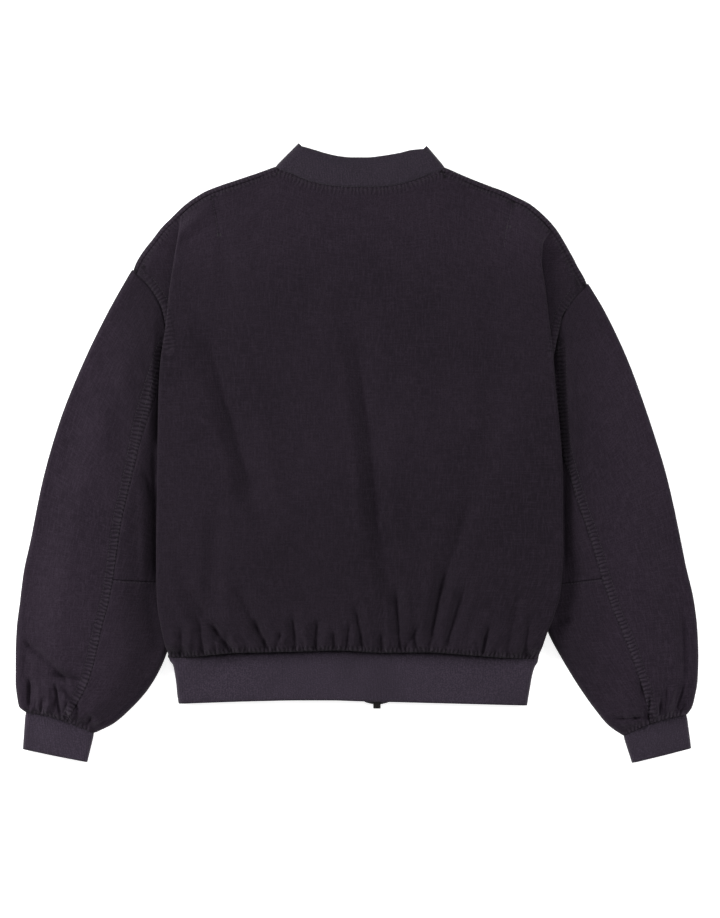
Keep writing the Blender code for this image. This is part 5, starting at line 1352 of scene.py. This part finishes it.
def sewLine(line, cloths, level=None, below=False):  # stitches on the cloth under or over a line in plan
    line = np.asarray(line, float)
    travel = pathLength(line)
    at = np.arange(stitching["pitch"] / 2, travel[-1], stitching["pitch"])
    x, y = (np.interp(at, travel, line[:, k]) for k in range(2))
    points, normals = [], []
    for px, py in zip(x, y):
        start = -0.01 if below else (0.1 if level is None else level * mm)
        way = Vector((0, 0, 1 if below else -1))
        best = None
        for cloth in cloths:
            hit, normal, _, far = cloth.ray_cast(Vector((px * mm, py * mm, start)), way)
            if hit is not None and (best is None or far < best[2]):
                best = (hit, normal, far)
        if best is None or best[1].dot(way) > -stitching["steepest"]:
            continue
        points.append(np.array(best[0]) / mm - np.array(best[1]) * stitching["sunk"])
        normals.append(np.array(best[1]))
    if len(points) < 2:
        return [], [], []
    points = np.array(points)
    return points.tolist(), np.gradient(points, axis=0).tolist(), [list(n) for n in normals]


def sewAll(name, runs):
    points, along, up = [], [], []
    for run in runs:
        a, b, c = sewLine(*run[:2], **run[2])
        points, along, up = points + a, along + b, up + c
    sizes = {"Length": stitching["length"] * mm, "Width": stitching["width"] * mm,
             "Uneven": stitching["uneven"], "Seed": stitching["seed"], "Material": thread}
    print(name, "has", len(points), "stitches")
    return scatterAlong(name, scatterTree(name, drawStitch, True), points, along, up, sizes)


# Put together


def dress(piece, node, slotName):
    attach(piece, "jacket")
    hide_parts(node)
    return piece


seams = planSeams()
hemGathers = smallGathers(seams["hem"], gathers["hemCount"], gathers["seed"], (0, 1))
for number, side in enumerate(signs):
    line = seams["cuff", side]
    inward = np.array([-(line[-1] - line[0])[1], (line[-1] - line[0])[0]])
    inward *= (1 if inward[1] > 0 else -1) / np.linalg.norm(inward)
    cuffGathers[side] = smallGathers(line, gathers["cuffCount"], gathers["seed"] + 1 + number, inward)

back = dress(makeBack(), "back", "cloth")
print("back made:", len(back.data.polygons), "faces")
sleeves = {}
for side in signs:
    for piece, name in zip(makeSleeve(side), sleeveParts):
        sleeves[side, name] = dress(piece, f"sleeve_{side}_{name}", "cloth")
print("sleeves made:", {name: len(piece.data.polygons) for name, piece in sleeves.items()})
fronts = {side: dress(makeFront(side), f"front_{side}", "cloth") for side in signs}
dress(makeCollar(), "collar_rib", "rib_knit")
dress(makeHemRib(), "hem_rib", "rib_knit")
for makePiece, name, slotName in ((makeCuff, "cuff", "rib_knit"), (makeTape, "zip_tape", "zip_tape")):
    for side in signs:
        dress(makePiece(side), f"{name}_{side}", slotName)
print("fronts, collar, hem, cuffs and tapes made")

bodyCloth, size = surfaceOf(back), stitching
runs = [(shiftLine(seams["neck"], size["neckIn"]), bodyCloth, {})]
for side, sign in signs.items():
    sleeveCloth = surfaceOf(*(sleeves[side, name] for name in sleeveParts))
    outerCloth = surfaceOf(sleeves[side, "main"])
    shoulder = shiftLine(seams["shoulder", side], sign * size["shoulderIn"])
    runs.append((shoulder, bodyCloth, {"level": size["shoulderFrom"]}))
    for inset in size["rows"]:
        armhole = shiftLine(seams["armhole", side], sign * -inset)[3:]
        runs.append((armhole, bodyCloth, {"level": size["armholeFrom"]}))
        runs.append((shiftLine(seams["sleeve", side], sign * inset), outerCloth, {}))
    runs.append((shiftLine(seams["cross", side], sign * size["crossIn"]), sleeveCloth, {}))
    runs.append((shiftLine(seams["dart", side], sign * size["dartIn"]), bodyCloth, {}))
    tack = seams["dart", side][-1] if side == "left" else np.array(size["rightTack"])
    for step in np.arange(-2, 3) * size["tackStep"]:
        bar = np.array([[tack[0] + half, tack[1] + step] for half in (-size["tackHalf"], size["tackHalf"])])
        runs.append((bar, bodyCloth, {}))
stitches = sewAll("seamStitches", runs)
frontRuns = []
for side, sign in signs.items():
    y = np.linspace(size["zipTop"], size["zipFoot"], 200)
    line = np.column_stack([zipLine(y) + sign * size["zipOut"], y])
    frontRuns.append((line, surfaceOf(fronts[side]), {"below": True}))
frontStitches = sewAll("zipStitches", frontRuns)
teeth = makeTeeth()
for piece, slotName in ((stitches, "cloth"), (frontStitches, "cloth"), (teeth, "zip_metal")):
    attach(piece, "jacket")
print("stitches and teeth made")

for name in ("zip_slider", "zip_pull", "zip_box"):
    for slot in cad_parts[name].material_slots:
        slot.material = zipMetal
